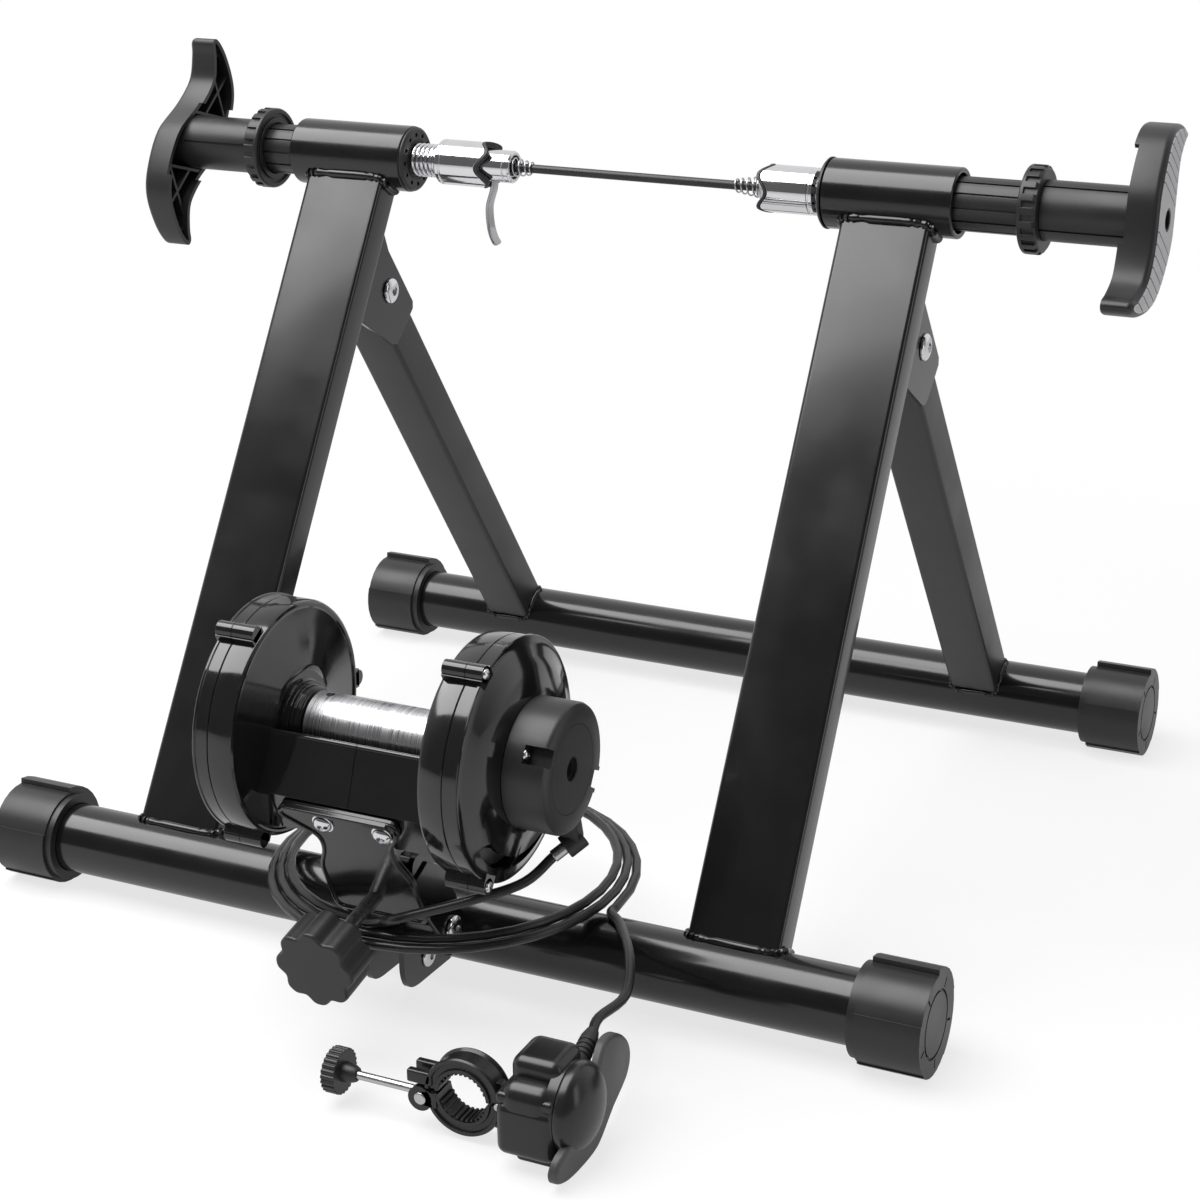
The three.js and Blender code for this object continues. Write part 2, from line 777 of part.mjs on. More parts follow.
// The spindle slides in the sleeve and carries the cup on the rod in its bore
function spindle(name, side, collarFace) {
  const shift = clampShift(side);
  const inner = legCentre - sleeveLength / 2 + plugDepth + fitGap + cupTravel - Math.min(shift, 0);
  const outer = sleeveOuter + spindleOutside;
  const body = join(
    plateAcross(spindleShape(), inner, outer),
    rod(plugBore - 2 * spindlePlay, collarFace - shift, inner + overrun, round));
  const bored = cut(body, rod(rodDiameter + 2 * rodPlay, collarFace - shift - overrun, outer + overrun, coarse));
  piece(name, clampGroup(side)(bored), satinPlastic);
}

function lockRing(name, side) {
  const flutes = lockRingFlutes;
  const radiusAt = (angle, i) => lockRingDiameter / 2 - (i % 4 < 4 * lockRingFluteShare ? 0 : lockRingFluteDepth);
  const body = plateAcross(polarShape(radiusAt, flutes * 4), ringStart, ringStart + lockRingLength);
  const bore = rod(spindleDiameter + 2 * spindlePlay, ringStart - overrun, ringStart + lockRingLength + overrun, round);
  piece(name, clampGroup(side)(cut(body, bore)), satinPlastic);
}

// Half the outline of the handle bends one way and half the other
function handleShape(inset) {
  const steps = 36;
  const points = [];
  for (let i = 0; i < steps; i++) {
    const angle = (i / steps) * 2 * Math.PI;
    const along = Math.cos(angle);
    const across = Math.sign(Math.sin(angle)) * Math.abs(Math.sin(angle)) ** 0.72;
    const sway = handleSway * Math.sin(along * Math.PI * 0.8);
    points.push([sway + across * (handleWidth / 2 - inset), along * (handleLength / 2 - inset)]);
  }
  return outline(points);
}

function handle(name, side, tilt) {
  const end = handleStart + handleDepth;
  const shell = plateAcross(handleShape(0), handleStart, end);
  const hollow = plateAcross(handleShape(handleWall), handleStart - overrun, end - handleWebDepth);
  const hub = pipe(handleTubeDiameter, handleHubBore, handleTubeStart, end - handleWebDepth / 2, round);
  const ribs = [];
  for (const [share, lean] of [[0.58, 0.6], [0.58, -0.6], [-0.58, 0.6], [-0.58, -0.6], [0.8, 1.57], [-0.8, 1.57]]) {
    const rib = new THREE.BoxGeometry(handleDepth - handleWebDepth, handleRib, handleWidth)
      .rotateX(lean)
      .translate(handleStart + handleDepth / 2 + handleWebDepth, handleSway * Math.sin(share * Math.PI * 0.8),
        share * handleLength / 2);
    ribs.push(rib);
  }
  const ribbed = solid(mergeGeometries([shell.clone()])).intersect(join(...ribs));
  const body = join(cut(shell, hollow).add(ribbed), hub);
  const socket = rod(spindleDiameter + 2 * spindlePlay, handleTubeStart - overrun, sleeveOuter + spindleOutside + fitGap,
    round);
  const whole = asGeometry(cut(body, socket, rod(handleHubBore, handleTubeStart, end + overrun)));
  piece(name, clampGroup(side)(whole.rotateX(tilt)), satinPlastic);
}

// Distance that the rim of a cup stands forward of its mean line at an angle
function scallop(angle) {
  return -cupScallop * Math.cos(cupScallops * angle);
}

// A cup is built with x running from its back to its mouth, and turned round for the right-hand side
function placeCup(geometry, back, side) {
  const placed = asGeometry(geometry);
  if (side > 0) placed.applyMatrix4(new THREE.Matrix4().makeScale(-1, 1, 1));
  return atClamp(outward(placed).translate(back, 0, 0));
}

// The chrome cup, its rod running back into the spindle; the right one has a stout neck
function cup(name, back, side, rodLength, neck) {
  const [outer, inner] = [cupDiameter / 2, cupDiameter / 2 - cupWall];
  const section = (angle) => [
    [-rodLength, 0], [-rodLength, rodDiameter / 2], [-neck, rodDiameter / 2],
    ...(neck > 0 ? [[-neck, cupSpringDiameter / 2], [0, cupSpringDiameter / 2]] : []),
    [0, outer - cupWall], [cupWall, outer], [cupLength + scallop(angle), outer], [cupLength + scallop(angle), inner],
    [cupFloor, inner], [cupFloor, 0],
  ];
  piece(name, placeCup(spunWavy(section, round), back, side), chrome);
}

// The plastic liner fills the cup and wraps its scalloped rim
function cupLiner(name, back, side, bore, floor) {
  const outer = inside(cupDiameter / 2 - cupWall);
  const start = cupFloor + linerPlay;
  const section = (angle) => {
    const rim = cupLength + linerPlay + scallop(angle);
    return [
      [start, 0], [start, outer], [rim, outer], [rim, cupDiameter / 2 + linerPlay],
      [rim + linerLip, cupDiameter / 2 + linerPlay], [rim + linerLip, bore / 2],
      [start + floor, bore / 2], [start + floor, 0],
    ];
  };
  piece(name, placeCup(spunWavy(section, round), back, side), rubber);
}

function inside(radius) {
  return radius - linerPlay;
}

function axleClamps() {
  const plugFace = legCentre - sleeveLength / 2 - plugFlange;
  spindle('spindle_left', -1, plugFace + fitGap);
  spindle('spindle_right', 1, plugFace + fitGap);
  lockRing('lock_ring_left', -1);
  lockRing('lock_ring_right', 1);
  handle('handle_left', -1, handleTiltLeft);
  handle('handle_right', 1, handleTiltRight);
  const springSpace = -cupLeftBack - (plugFace + fitGap);
  cup('cup_left', cupLeftBack, -1, plugFace + Math.abs(cupLeftBack) / 2 - plugFace / 2, 0);
  cup('cup_right', cupRightBack, 1, sleeveLength / 2, plugFace - cupRightBack - fitGap);
  cupLiner('cup_liner_left', cupLeftBack, -1, camHousingDiameter + 2 * skewerPlay, linerFloorLeft);
  cupLiner('cup_liner_right', cupRightBack, 1, skewerNutDiameter + 2 * skewerPlay, linerFloorRight);
  const springRadius = (cupSpringDiameter - cupSpringWire) / 2;
  const free = Math.abs(springSpace) - cupSpringWire - 2 * fitGap;
  const spring = wire(new Helix(cupSpringTurns, free, springRadius, springRadius), cupSpringWire, cupSpringTurns * 8, 6);
  piece('cup_spring_left', atClamp(spring.translate(cupLeftBack - free - cupSpringWire / 2 - fitGap, 0, 0)), chrome);
}

// Skewer

function skewer() {
  const housingStart = camHousingEnd - camHousingLength;
  const rodStart = camHousingEnd - camHousingRecess + fitGap;
  const nutEnd = skewerNutFace + skewerNutLength;
  piece('skewer_rod', atClamp(rod(skewerRodDiameter, rodStart, nutEnd - sheet, coarse)), blackPaint);

  const r = camHousingDiameter / 2;
  const housing = spun([
    [housingStart, 0], [housingStart, r - cupWall], [housingStart + cupWall, r], [camHousingEnd - cupWall, r],
    [camHousingEnd, r - cupWall], [camHousingEnd, r - 2 * cupWall], [camHousingEnd - camHousingRecess, r - 2 * cupWall],
    [camHousingEnd - camHousingRecess, 0],
  ], round);
  const pivotX = housingStart + camPivotOffset - leverThickness * 2;
  const hub = leverThickness * 1.8;
  const slotTop = hub + skewerPlay;
  const slotHeight = slotTop + camHousingDiameter / 2 + overrun;
  const slot = new THREE.BoxGeometry(2 * slotTop, leverWidth + 2 * skewerPlay, slotHeight)
    .translate(pivotX, 0, slotTop - slotHeight / 2);
  piece('cam_housing', atClamp(asGeometry(cut(housing, slot))), chrome);

  // The lever hangs from its cam, bows away from the wheel and comes back at its tip
  const cam = new THREE.CylinderGeometry(hub, hub, leverWidth, coarse);
  const centre = [];
  for (const [along, bow] of leverShares) centre.push(new THREE.Vector2(bow * leverBow, -along * leverLength));
  const curve = new THREE.SplineCurve(centre);
  const steps = 12;
  const [near, far] = [[], []];
  for (let i = 0; i <= steps; i++) {
    const point = curve.getPoint(i / steps);
    const tangent = curve.getTangent(i / steps);
    const half = (leverThickness / 2) * (1 - 0.3 * (i / steps));
    near.push([point.x - tangent.y * half, point.y + tangent.x * half]);
    far.unshift([point.x + tangent.y * half, point.y - tangent.x * half]);
  }
  const blade = extrude(outline([...near, ...far]), leverWidth).rotateX(Math.PI / 2).translate(0, leverWidth / 2, 0);
  piece('qr_lever', atClamp(asGeometry(join(cam, blade)).translate(pivotX, 0, 0)), chrome);

  const nut = skewerNutDiameter / 2;
  const nutProfile = [
    [skewerNutFace, skewerRodDiameter / 2 + skewerPlay], [skewerNutFace, nut * 0.55], [skewerNutFace + nut * 0.2, nut * 0.85],
    [skewerNutFace + nut * 0.45, nut], [nutEnd - overrun, nut], [nutEnd, nut - overrun],
    [nutEnd, skewerRodDiameter / 2 + skewerPlay], [skewerNutFace, skewerRodDiameter / 2 + skewerPlay],
  ];
  piece('skewer_nut', atClamp(spun(nutProfile, round)), chrome);

  const [wide, narrow] = [(coneSpringWide - coneSpringWire) / 2, (coneSpringNarrow - coneSpringWire) / 2];
  const steps8 = coneSpringTurns * 8;
  const left = wire(new Helix(coneSpringTurns, coneSpringLength, wide, narrow), coneSpringWire, steps8, 5);
  const right = wire(new Helix(coneSpringTurns, coneSpringLength, narrow, wide), coneSpringWire, steps8, 5);
  const touch = coneSpringWire / 2 + fitGap;
  piece('cone_spring_left', atClamp(left.translate(camHousingEnd - camHousingRecess + touch, 0, 0)), steel);
  piece('cone_spring_right', atClamp(right.translate(skewerNutFace - coneSpringLength - touch, 0, 0)), steel);
}

// Resistance unit. Its group has its origin on the roller's axis and leans back to the wheel.

const unit = new THREE.Group();
unit.position.set(0, unitSetback, unitRise);
unit.rotation.x = unitTilt;
stand.add(unit);

function mirrored(geometry) {
  return outward(asGeometry(geometry).applyMatrix4(new THREE.Matrix4().makeScale(-1, 1, 1)));
}

// Screw bosses along the rim of a housing, from one x to another
function bosses(from, to) {
  const radius = housingDiameter / 2 + bossDiameter * 0.3;
  return bossAngles.map((angle) => {
    const [y, z] = polar(radius, angle);
    return rod(bossDiameter, from, to, small).translate(0, y, z);
  });
}

// The inner shell of a housing: a dished face, a hub with stepped collars, and half of the rim
function innerShell() {
  const r = housingDiameter / 2;
  const hub = collarDiameters[0] / 2;
  const bore = bearingDiameter / 2 + fitGap;
  const shaftHole = shaftDiameter / 2 + 1.5;
  const seamEnd = housingSeam - seamGap / 2;
  const steps = [];
  let x = housingInner - housingDome * 0.35;
  collarDiameters.forEach((diameter, i) => {
    steps.push([x, diameter / 2]);
    x -= collarLengths[i];
    steps.push([x, diameter / 2]);
  });
  const mouth = x;
  const profile = [
    [seamEnd, r - housingWall], [seamEnd, r], [housingInner + rimStep, r], [housingInner, r - rimStep],
    [housingInner, r - 3 * rimStep], [housingInner - housingDome * 0.35, hub + rimStep * 4],
    ...steps,
    [mouth, shaftHole], [bearingSeat - fitGap, shaftHole], [bearingSeat - fitGap, bore],
    [bearingSeat + bearingWidth + fitGap, bore],
    [bearingSeat + bearingWidth + fitGap, hub + rimStep],
    [housingInner + housingWall, r - housingWall - 2 * rimStep], [housingInner + housingWall, r - housingWall],
    [seamEnd, r - housingWall],
  ];
  return join(spun(profile, fine), ...bosses(housingInner + rimStep, seamEnd));
}

function cradleSection(inset) {
  const slant = inset * Math.SQRT2;
  return [
    [-cradleFront + inset, -cradleLip],
    [-cradleFront + inset, -cradleShoulder + inset * 0.41],
    [-cradleFloorHalf - inset * 0.41 + inset * 0, -cradleFloor + inset],
    [cradleFloorHalf + inset * 0.41, -cradleFloor + inset],
    [cradleFront - inset, -cradleShoulder + inset * 0.41],
    [cradleFront - inset, -cradleLip],
  ].map(([y, z]) => [y, z + slant * 0]);
}

// Half of the cradle: a gutter under the roller, moulded in one with the inner shell of its housing
function cradle(name, side) {
  const outer = cradleSection(0);
  const inner = cradleSection(cradleWall).reverse();
  const gutter = plateAcross(outline([...outer, ...inner]), seamGap / 2, housingInner + overrun);
  const bead = (sign) => rod(cradleLipBead * 2, seamGap / 2, housingInner, small)
    .translate(0, sign * (cradleFront - cradleLipBead), -cradleLip);
  let shape = join(innerShell(), gutter, bead(-1), bead(1));
  shape = shape.subtract(solid(rod(bearingDiameter + 2 * fitGap, bearingSeat - fitGap, bearingSeat + bearingWidth + fitGap, round)));
  const geometry = asGeometry(shape);
  piece(name, side < 0 ? mirrored(geometry) : geometry, glossPlastic, unit);
}

// An outer shell closes a housing; the right one has vents and a seat for the brake cap
function outerShellProfile(top, topRadius, holeRadius) {
  const r = housingDiameter / 2;
  const start = housingSeam + seamGap / 2;
  return [
    [start, r - housingWall], [start, r], [housingOuter - rimStep, r], [housingOuter, r - rimStep],
    [housingOuter + rimStep / 2, r - 3 * rimStep],
    [(housingOuter + 2 * top) / 3, (r + topRadius) / 2], [top, topRadius], [top, holeRadius],
    [top - housingWall, holeRadius], [top - housingWall, topRadius - rimStep],
    [(housingOuter + 2 * top) / 3 - housingWall, (r + topRadius) / 2 - rimStep],
    [housingOuter - housingWall, r - housingWall - rimStep], [housingOuter - 2 * housingWall, r - housingWall],
    [start, r - housingWall],
  ];
}

function ventSlot(angle) {
  const shape = new THREE.Shape();
  const [inner, outer] = [ventRadius - ventWidth / 2, ventRadius + ventWidth / 2];
  const half = ventSweep / 2;
  shape.absarc(0, 0, outer, angle - half, angle + half, false);
  shape.absarc(...polar(ventRadius, angle + half), ventWidth / 2, angle + half, angle + half + Math.PI, false);
  shape.absarc(0, 0, inner, angle + half, angle - half, true);
  shape.absarc(...polar(ventRadius, angle - half), ventWidth / 2, angle - half + Math.PI, angle - half + 2 * Math.PI, false);
  return plateAcross(shape, housingOuter - 2 * housingWall, brakeCapEnd, 5);
}

function outerShells() {
  const seat = brakeCapDiameter / 2 + housingWall / 2;
  const top = housingOuter + housingDome;
  const right = join(spun(outerShellProfile(top, seat, magnetCarrierDiameter / 2 - rimStep), fine),
    ...bosses(housingSeam + seamGap / 2, housingOuter));
  piece('housing_right', cut(right, ...ventAngles.map(ventSlot)), glossPlastic, unit);
  const left = join(spun(outerShellProfile(top - housingDome / 3, flywheelHub / 2, shaftDiameter), fine),
    spun([[top - housingDome / 3 - housingWall, 0], [top - housingDome / 3 - housingWall, shaftDiameter + overrun],
      [top - rimStep, shaftDiameter + overrun], [top, shaftDiameter], [top, 0]], coarse),
    ...bosses(housingSeam + seamGap / 2, housingOuter));
  piece('housing_left', mirrored(left), glossPlastic, unit);
}

// The cap over the magnets, with three screw notches, a hole on the axis and the stop for the cable
function brakeCap() {
  const r = brakeCapDiameter / 2;
  const start = housingOuter + housingDome + seamGap;
  const profile = [
    [start, r - brakeCapWall], [start, r], [brakeCapEnd - brakeCapRound, r], [brakeCapEnd, r - brakeCapRound],
    [brakeCapEnd, brakeCapHole / 2], [brakeCapEnd - brakeCapWall, brakeCapHole / 2],
    [brakeCapEnd - brakeCapWall, r - brakeCapWall - brakeCapRound],
    [brakeCapEnd - brakeCapWall - brakeCapRound, r - brakeCapWall], [start, r - brakeCapWall],
  ];
  const notches = notchAngles.map((angle) => {
    const [y, z] = polar(r, angle);
    return roundNotch().rotateX(angle).translate(0, y, z);
  });
  const pads = notchAngles.map((angle) => {
    const [y, z] = polar(r - notchDepth / 2 - brakeCapWall / 2, angle);
    const depth = notchDepth + brakeCapWall;
    return new THREE.BoxGeometry(brakeCapEnd - start - overrun, depth - overrun, notchWidth + 2 * brakeCapWall)
      .rotateX(angle).translate((brakeCapEnd + start) / 2, y, z);
  });
  const block = pipe(ferruleDiameter * 1.9, ferruleDiameter + 2 * fitGap, -ferruleLength * 0.45, ferruleLength * 0.45, coarse);
  const shape = cut(join(spun(profile, fine), ...pads), ...notches);
  const [armY, armZ] = polar((stopRadius + r) / 2, stopAngle);
  const web = new THREE.BoxGeometry(ferruleDiameter * 1.5, stopRadius - r + brakeCapWall, ferruleDiameter * 1.2)
    .rotateX(stopAngle).translate(brakeCapEnd - ferruleDiameter, armY, armZ);
  const barrel = placeStop(block);
  const hole = placeStop(rod(ferruleDiameter + 2 * fitGap, -ferruleLength, ferruleLength, coarse));
  piece('brake_cap', cut(join(shape, web, barrel), hole), satinPlastic, unit);
}

function roundNotch() {
  return new THREE.BoxGeometry(2 * notchLength, 2 * notchDepth, notchWidth).translate(brakeCapEnd, 0, 0);
}

// Where the cable leaves its stop, and the way that it points there, both in the unit's own axes
const stopLocal = new THREE.Vector3(brakeCapEnd - ferruleDiameter, ...polar(stopRadius, stopAngle));
const stopWay = new THREE.Vector3(-0.6, -0.6, -0.53).normalize().applyAxisAngle(new THREE.Vector3(1, 0, 0), -unitTilt);

function placeStop(geometry) {
  const turn = new THREE.Quaternion().setFromUnitVectors(new THREE.Vector3(1, 0, 0), stopWay);
  return geometry.applyQuaternion(turn).translate(stopLocal.x, stopLocal.y, stopLocal.z);
}

// The roller and the two flywheels turn together on the shaft
function rotor() {
  const start = bearingSeat + bearingWidth + fitGap;
  const shaftEnd = brakeCapEnd - 2 * brakeCapWall - fitGap;
  const left = housingOuter + housingDome - 3 * housingWall;
  const shaftProfile = [
    [-left, 0], [-left, shaftDiameter / 2 - overrun], [-left + overrun, shaftDiameter / 2],
    [shaftEnd - overrun, shaftDiameter / 2], [shaftEnd, shaftDiameter / 2 - overrun], [shaftEnd, 0],
  ];
  piece('shaft', spun(shaftProfile, coarse), steel, unit);
  const bore = shaftDiameter + 2 * fitGap;
  const hole = new THREE.CylinderGeometry(rollerHoleDiameter / 2, rollerHoleDiameter / 2, rollerDiameter, small)
    .rotateX(Math.PI / 2).translate(-rollerLength / 2 + rollerHoleInset, 0, rollerDiameter / 2);
  const half = rollerLength / 2;
  const r = rollerDiameter / 2;
  const tube = spun([
    [-half, bore / 2], [-half, r - overrun], [-half + overrun, r], [half - overrun, r], [half, r - overrun],
    [half, bore / 2], [-half, bore / 2],
  ], fine);
  piece('roller', cut(tube, hole.rotateX(THREE.MathUtils.degToRad(20))), brushed, unit);

  const outer = flywheelDiameter / 2;
  const web = flywheelStart + (flywheelRim + flywheelWeb) / 2;
  const wheel = spun([
    [start, bore / 2], [start, flywheelHub / 2], [flywheelStart, flywheelHub / 2], [flywheelStart, outer],
    [flywheelStart + flywheelRim, outer], [flywheelStart + flywheelRim, outer - flywheelRim],
    [web, outer - flywheelRim], [web, bore / 2], [start, bore / 2],
  ], fine);
  piece('flywheel_left', mirrored(wheel.clone()), steel, unit);
  piece('flywheel_right', wheel, steel, unit);

  const discStart = magnetCarrierStart + magnetCarrierThickness + magnetProud + 3 * fitGap;
  piece('brake_disc', pipe(brakeDiscDiameter, bore, discStart, discStart + brakeDiscThickness, fine), brushed, unit);

  for (const [side, sign] of [['left', -1], ['right', 1]]) {
    const bearing = pipe(bearingDiameter, bore, bearingSeat, bearingSeat + bearingWidth, round);
    piece(`bearing_${side}`, sign < 0 ? mirrored(bearing) : bearing, steel, unit);
  }
}

// A carrier with magnets faces the brake disc, and the cable turns it
function magnetCarrier() {
  const end = magnetCarrierStart + magnetCarrierThickness;
  const plate = pipe(magnetCarrierDiameter, shaftDiameter + 2 * bracketWall, magnetCarrierStart, end, fine);
  const magnets = [];
  for (let i = 0; i < magnetCount; i++) {
    const [y, z] = polar(magnetCarrierDiameter / 2 - magnetDiameter / 2 - overrun, (i / magnetCount) * 2 * Math.PI);
    magnets.push(rod(magnetDiameter, magnetCarrierStart + overrun, end + magnetProud, small).translate(0, y, z));
  }
  piece('magnet_carrier', join(plate, ...magnets), satinPlastic, unit);
}

// The stamped bracket: a plate bolted under the front of the cradle, then a stalk with two cheeks
function unitBracket() {
  const corner = cradleCorner();
  const down = new THREE.Vector2(screwWebSetback - corner[0], screwWebRise - corner[1]).normalize();
  const inward = [-down.y, down.x].map((value) => value * (down.x > 0 ? 1 : -1));
  const at = (along, deep) => [corner[0] + down.x * along + inward[0] * deep, corner[1] + down.y * along + inward[1] * deep];
  const screwAlong = Math.hypot(screwWebSetback - corner[0], screwWebRise - corner[1]);
  const bevel = Math.hypot(cradleFront - cradleFloorHalf, cradleFloor - cradleShoulder);
  const stalkEnd = screwAlong + stalkToe;

  // Front view of the sheet, x across and the second axis down the stalk
  const face = new THREE.Shape();
  const rounding = earRadius / 2;
  face.moveTo(-bracketPlateLeft + rounding, 0);
  face.lineTo(bracketPlateRight - rounding, 0);
  face.absarc(bracketPlateRight - rounding, -rounding, rounding, Math.PI / 2, 0, true);
  face.lineTo(bracketPlateRight, -plateHeight / 2);
  face.quadraticCurveTo(bracketWaistHalf, -plateHeight, bracketWaistHalf, -waistHeight);
  face.lineTo(stalkHalf, -flareHeight);
  face.lineTo(stalkHalf, -stalkEnd);
  face.lineTo(-stalkHalf, -stalkEnd);
  face.lineTo(-stalkHalf, -flareHeight);
  face.lineTo(-bracketWaistHalf, -waistHeight);
  face.quadraticCurveTo(-bracketWaistHalf, -plateHeight, -bracketPlateLeft, -plateHeight / 2);
  face.lineTo(-bracketPlateLeft, -rounding);
  const basis = new THREE.Matrix4().makeBasis(
    new THREE.Vector3(1, 0, 0),
    new THREE.Vector3(0, -down.x, -down.y),
    new THREE.Vector3(0, down.y, -down.x));
  basis.setPosition(0, ...at(0, 0));
  const web = extrude(face, sheet, 4).applyMatrix4(basis);

  // A cheek follows the web, then narrows to the ear round the pivot bolt
  const [pivotY, pivotZ] = [pivotSetback, pivotRise];
  const cheek = outline([
    at(flareHeight, -sheet / 2), at(stalkEnd, -sheet / 2),
    [pivotY - earRadius, pivotZ], [pivotY - earRadius * 0.7, pivotZ - earRadius * 0.7], [pivotY, pivotZ - earRadius],
    [pivotY + earRadius * 0.7, pivotZ - earRadius * 0.7], [pivotY + earRadius, pivotZ],
    [pivotY + earRadius, pivotZ + earRadius * 0.5], at(screwAlong, cheekDepth),
    at(flareHeight, cheekDepth / 2),
  ]);
  const wide = 2 * bracketPlateLeft;
  const shape = cut(
    join(web, plateAcross(cheek, stalkHalf - sheet, stalkHalf), plateAcross(cheek, -stalkHalf, -stalkHalf + sheet)),
    rod(pivotBoltDiameter + 2 * pivotPlay, -wide, wide).translate(0, pivotY, pivotZ),
    alongScrew(rod(screwDiameter + 2 * screwPlay, -knobLength / 2, knobLength / 2)));
  piece('unit_bracket', shape, blackPaint);

  // The pivot bolt runs through both cheeks and the lug between them
  crossBolt('pivot_bolt', pivotBoltDiameter, -stalkHalf - fitGap, stalkHalf + fitGap, 1.8 * pivotBoltDiameter, pivotY, pivotZ);
}

// The lower front corner of the cradle in the stand's axes, a little below the plastic
function cradleCorner() {
  const point = new THREE.Vector3(0, -cradleFront, -cradleShoulder).applyAxisAngle(new THREE.Vector3(1, 0, 0), unitTilt);
  return [unitSetback + point.y - 2 * fitGap, unitRise + point.z - 2 * fitGap];
}

// The lobed knob on its steel screw
function tensionKnob() {
  const steps = knobLobes * 6;
  const radiusAt = (angle) => knobDiameter / 2 - knobLobeDepth * (0.5 - 0.5 * Math.cos(knobLobes * angle)) ** 1.6;
  const star = plateAcross(polarShape(radiusAt, steps), knobStandoff, knobStandoff + knobLength);
  const screw = rod(screwDiameter, -nutOffset() - nutBarrelDiameter, knobStandoff + overrun, coarse);
  const collar = pipe(screwDiameter * 1.6, screwDiameter - overrun, sheet * 1.8, sheet * 2.8, coarse);
  piece('tension_knob', alongScrew(asGeometry(join(star, screw, collar))), satinPlastic);
}

// Cable

class CoilCurve extends THREE.Curve {
  getPoint(t, target = new THREE.Vector3()) {
    const turns = t * coilTurns;
    const [x, y] = polar(coilInner + coilGrowth * turns, coilStartAngle - turns * 2 * Math.PI);
    return target.set(x, coilCentreSetback + y, coilTop - coilDrop * turns);
  }
}

function printLeastGap(curve, steps) {
  const points = curve.getSpacedPoints(steps);
  const near = (Math.PI * coilInner) / (curve.getLength() / steps);
  let least = Infinity;
  points.forEach((a, i) => {
    for (let k = i + Math.round(near); k < points.length; k++) least = Math.min(least, a.distanceTo(points[k]));
  });
  console.log(`least gap between the turns of the cable: ${(least - cableDiameter).toFixed(2)} mm`);
}

function cable() {
  const coil = new CoilCurve();
  const steps = Math.round(coilTurns * coilStepsPerTurn);
  printLeastGap(coil, steps * 8);
  piece('cable_coil', wire(coil, cableDiameter, steps, cableSides), rubber);

  const start = unit.localToWorld(stopLocal.clone());
  const way = stopWay.clone().applyAxisAngle(new THREE.Vector3(1, 0, 0), unitTilt);
  const leave = start.clone().addScaledVector(way, ferruleLength);
  const coilStart = coil.getPoint(0);
  const coilWay = coil.getTangent(0);
  const leadEnd = coilStart.clone().addScaledVector(coilWay, -2 * fitGap);
  const lead = new THREE.CatmullRomCurve3([
    start.clone().addScaledVector(way, ferruleLength * 0.2), leave,
    ...[leadPassesRim, leadSinks, leadPassesKnob, leadLands].map((point) => new THREE.Vector3(...point)),
    leadEnd.clone().addScaledVector(coilWay, -cableDiameter), leadEnd,
  ]);
  const ferrule = placeStop(rod(ferruleDiameter, -ferruleLength * 0.2, ferruleLength, small))
    .applyMatrix4(unit.matrixWorld);
  piece('cable_lead', join(wire(lead, cableDiameter, 24, cableSides), ferrule), rubber);

  const coilEnd = coil.getPoint(1);
  const endWay = coil.getTangent(1);
  const tailStart = coilEnd.clone().addScaledVector(endWay, fitGap);
  const tail = new THREE.CatmullRomCurve3([
    tailStart, tailStart.clone().addScaledVector(endWay, 2 * cableDiameter),
    ...[tailLeavesCoil, tailRises, tailSinks].map((point) => new THREE.Vector3(...point)),
    bootEnd(2 * cableDiameter), bootEnd(fitGap),
  ]);
  piece('cable_tail', wire(tail, cableDiameter, 24, cableSides), rubber);
}

// Remote shifter. Its group has its origin on the drum's axis, which runs along X.

const floor = -capRestRadius;
const shifter = new THREE.Group();
shifter.position.set(shifterX, shifterY, floor + shifterHeight);
stand.add(shifter);

const bootWay = new THREE.Vector3(-0.12, 0.97, 0.21).normalize();
const bootRoot = new THREE.Vector3(shifterDrumLength * 0.3, shifterDrumDiameter * 0.34, shifterDrumDiameter * 0.2);
const bootLength = 26;
const bootDiameter = 9.4;

function bootEnd(gap) {
  return shifter.position.clone().add(bootRoot).addScaledVector(bootWay, bootLength + gap);
}

function half(length) {
  return length / 2;
}

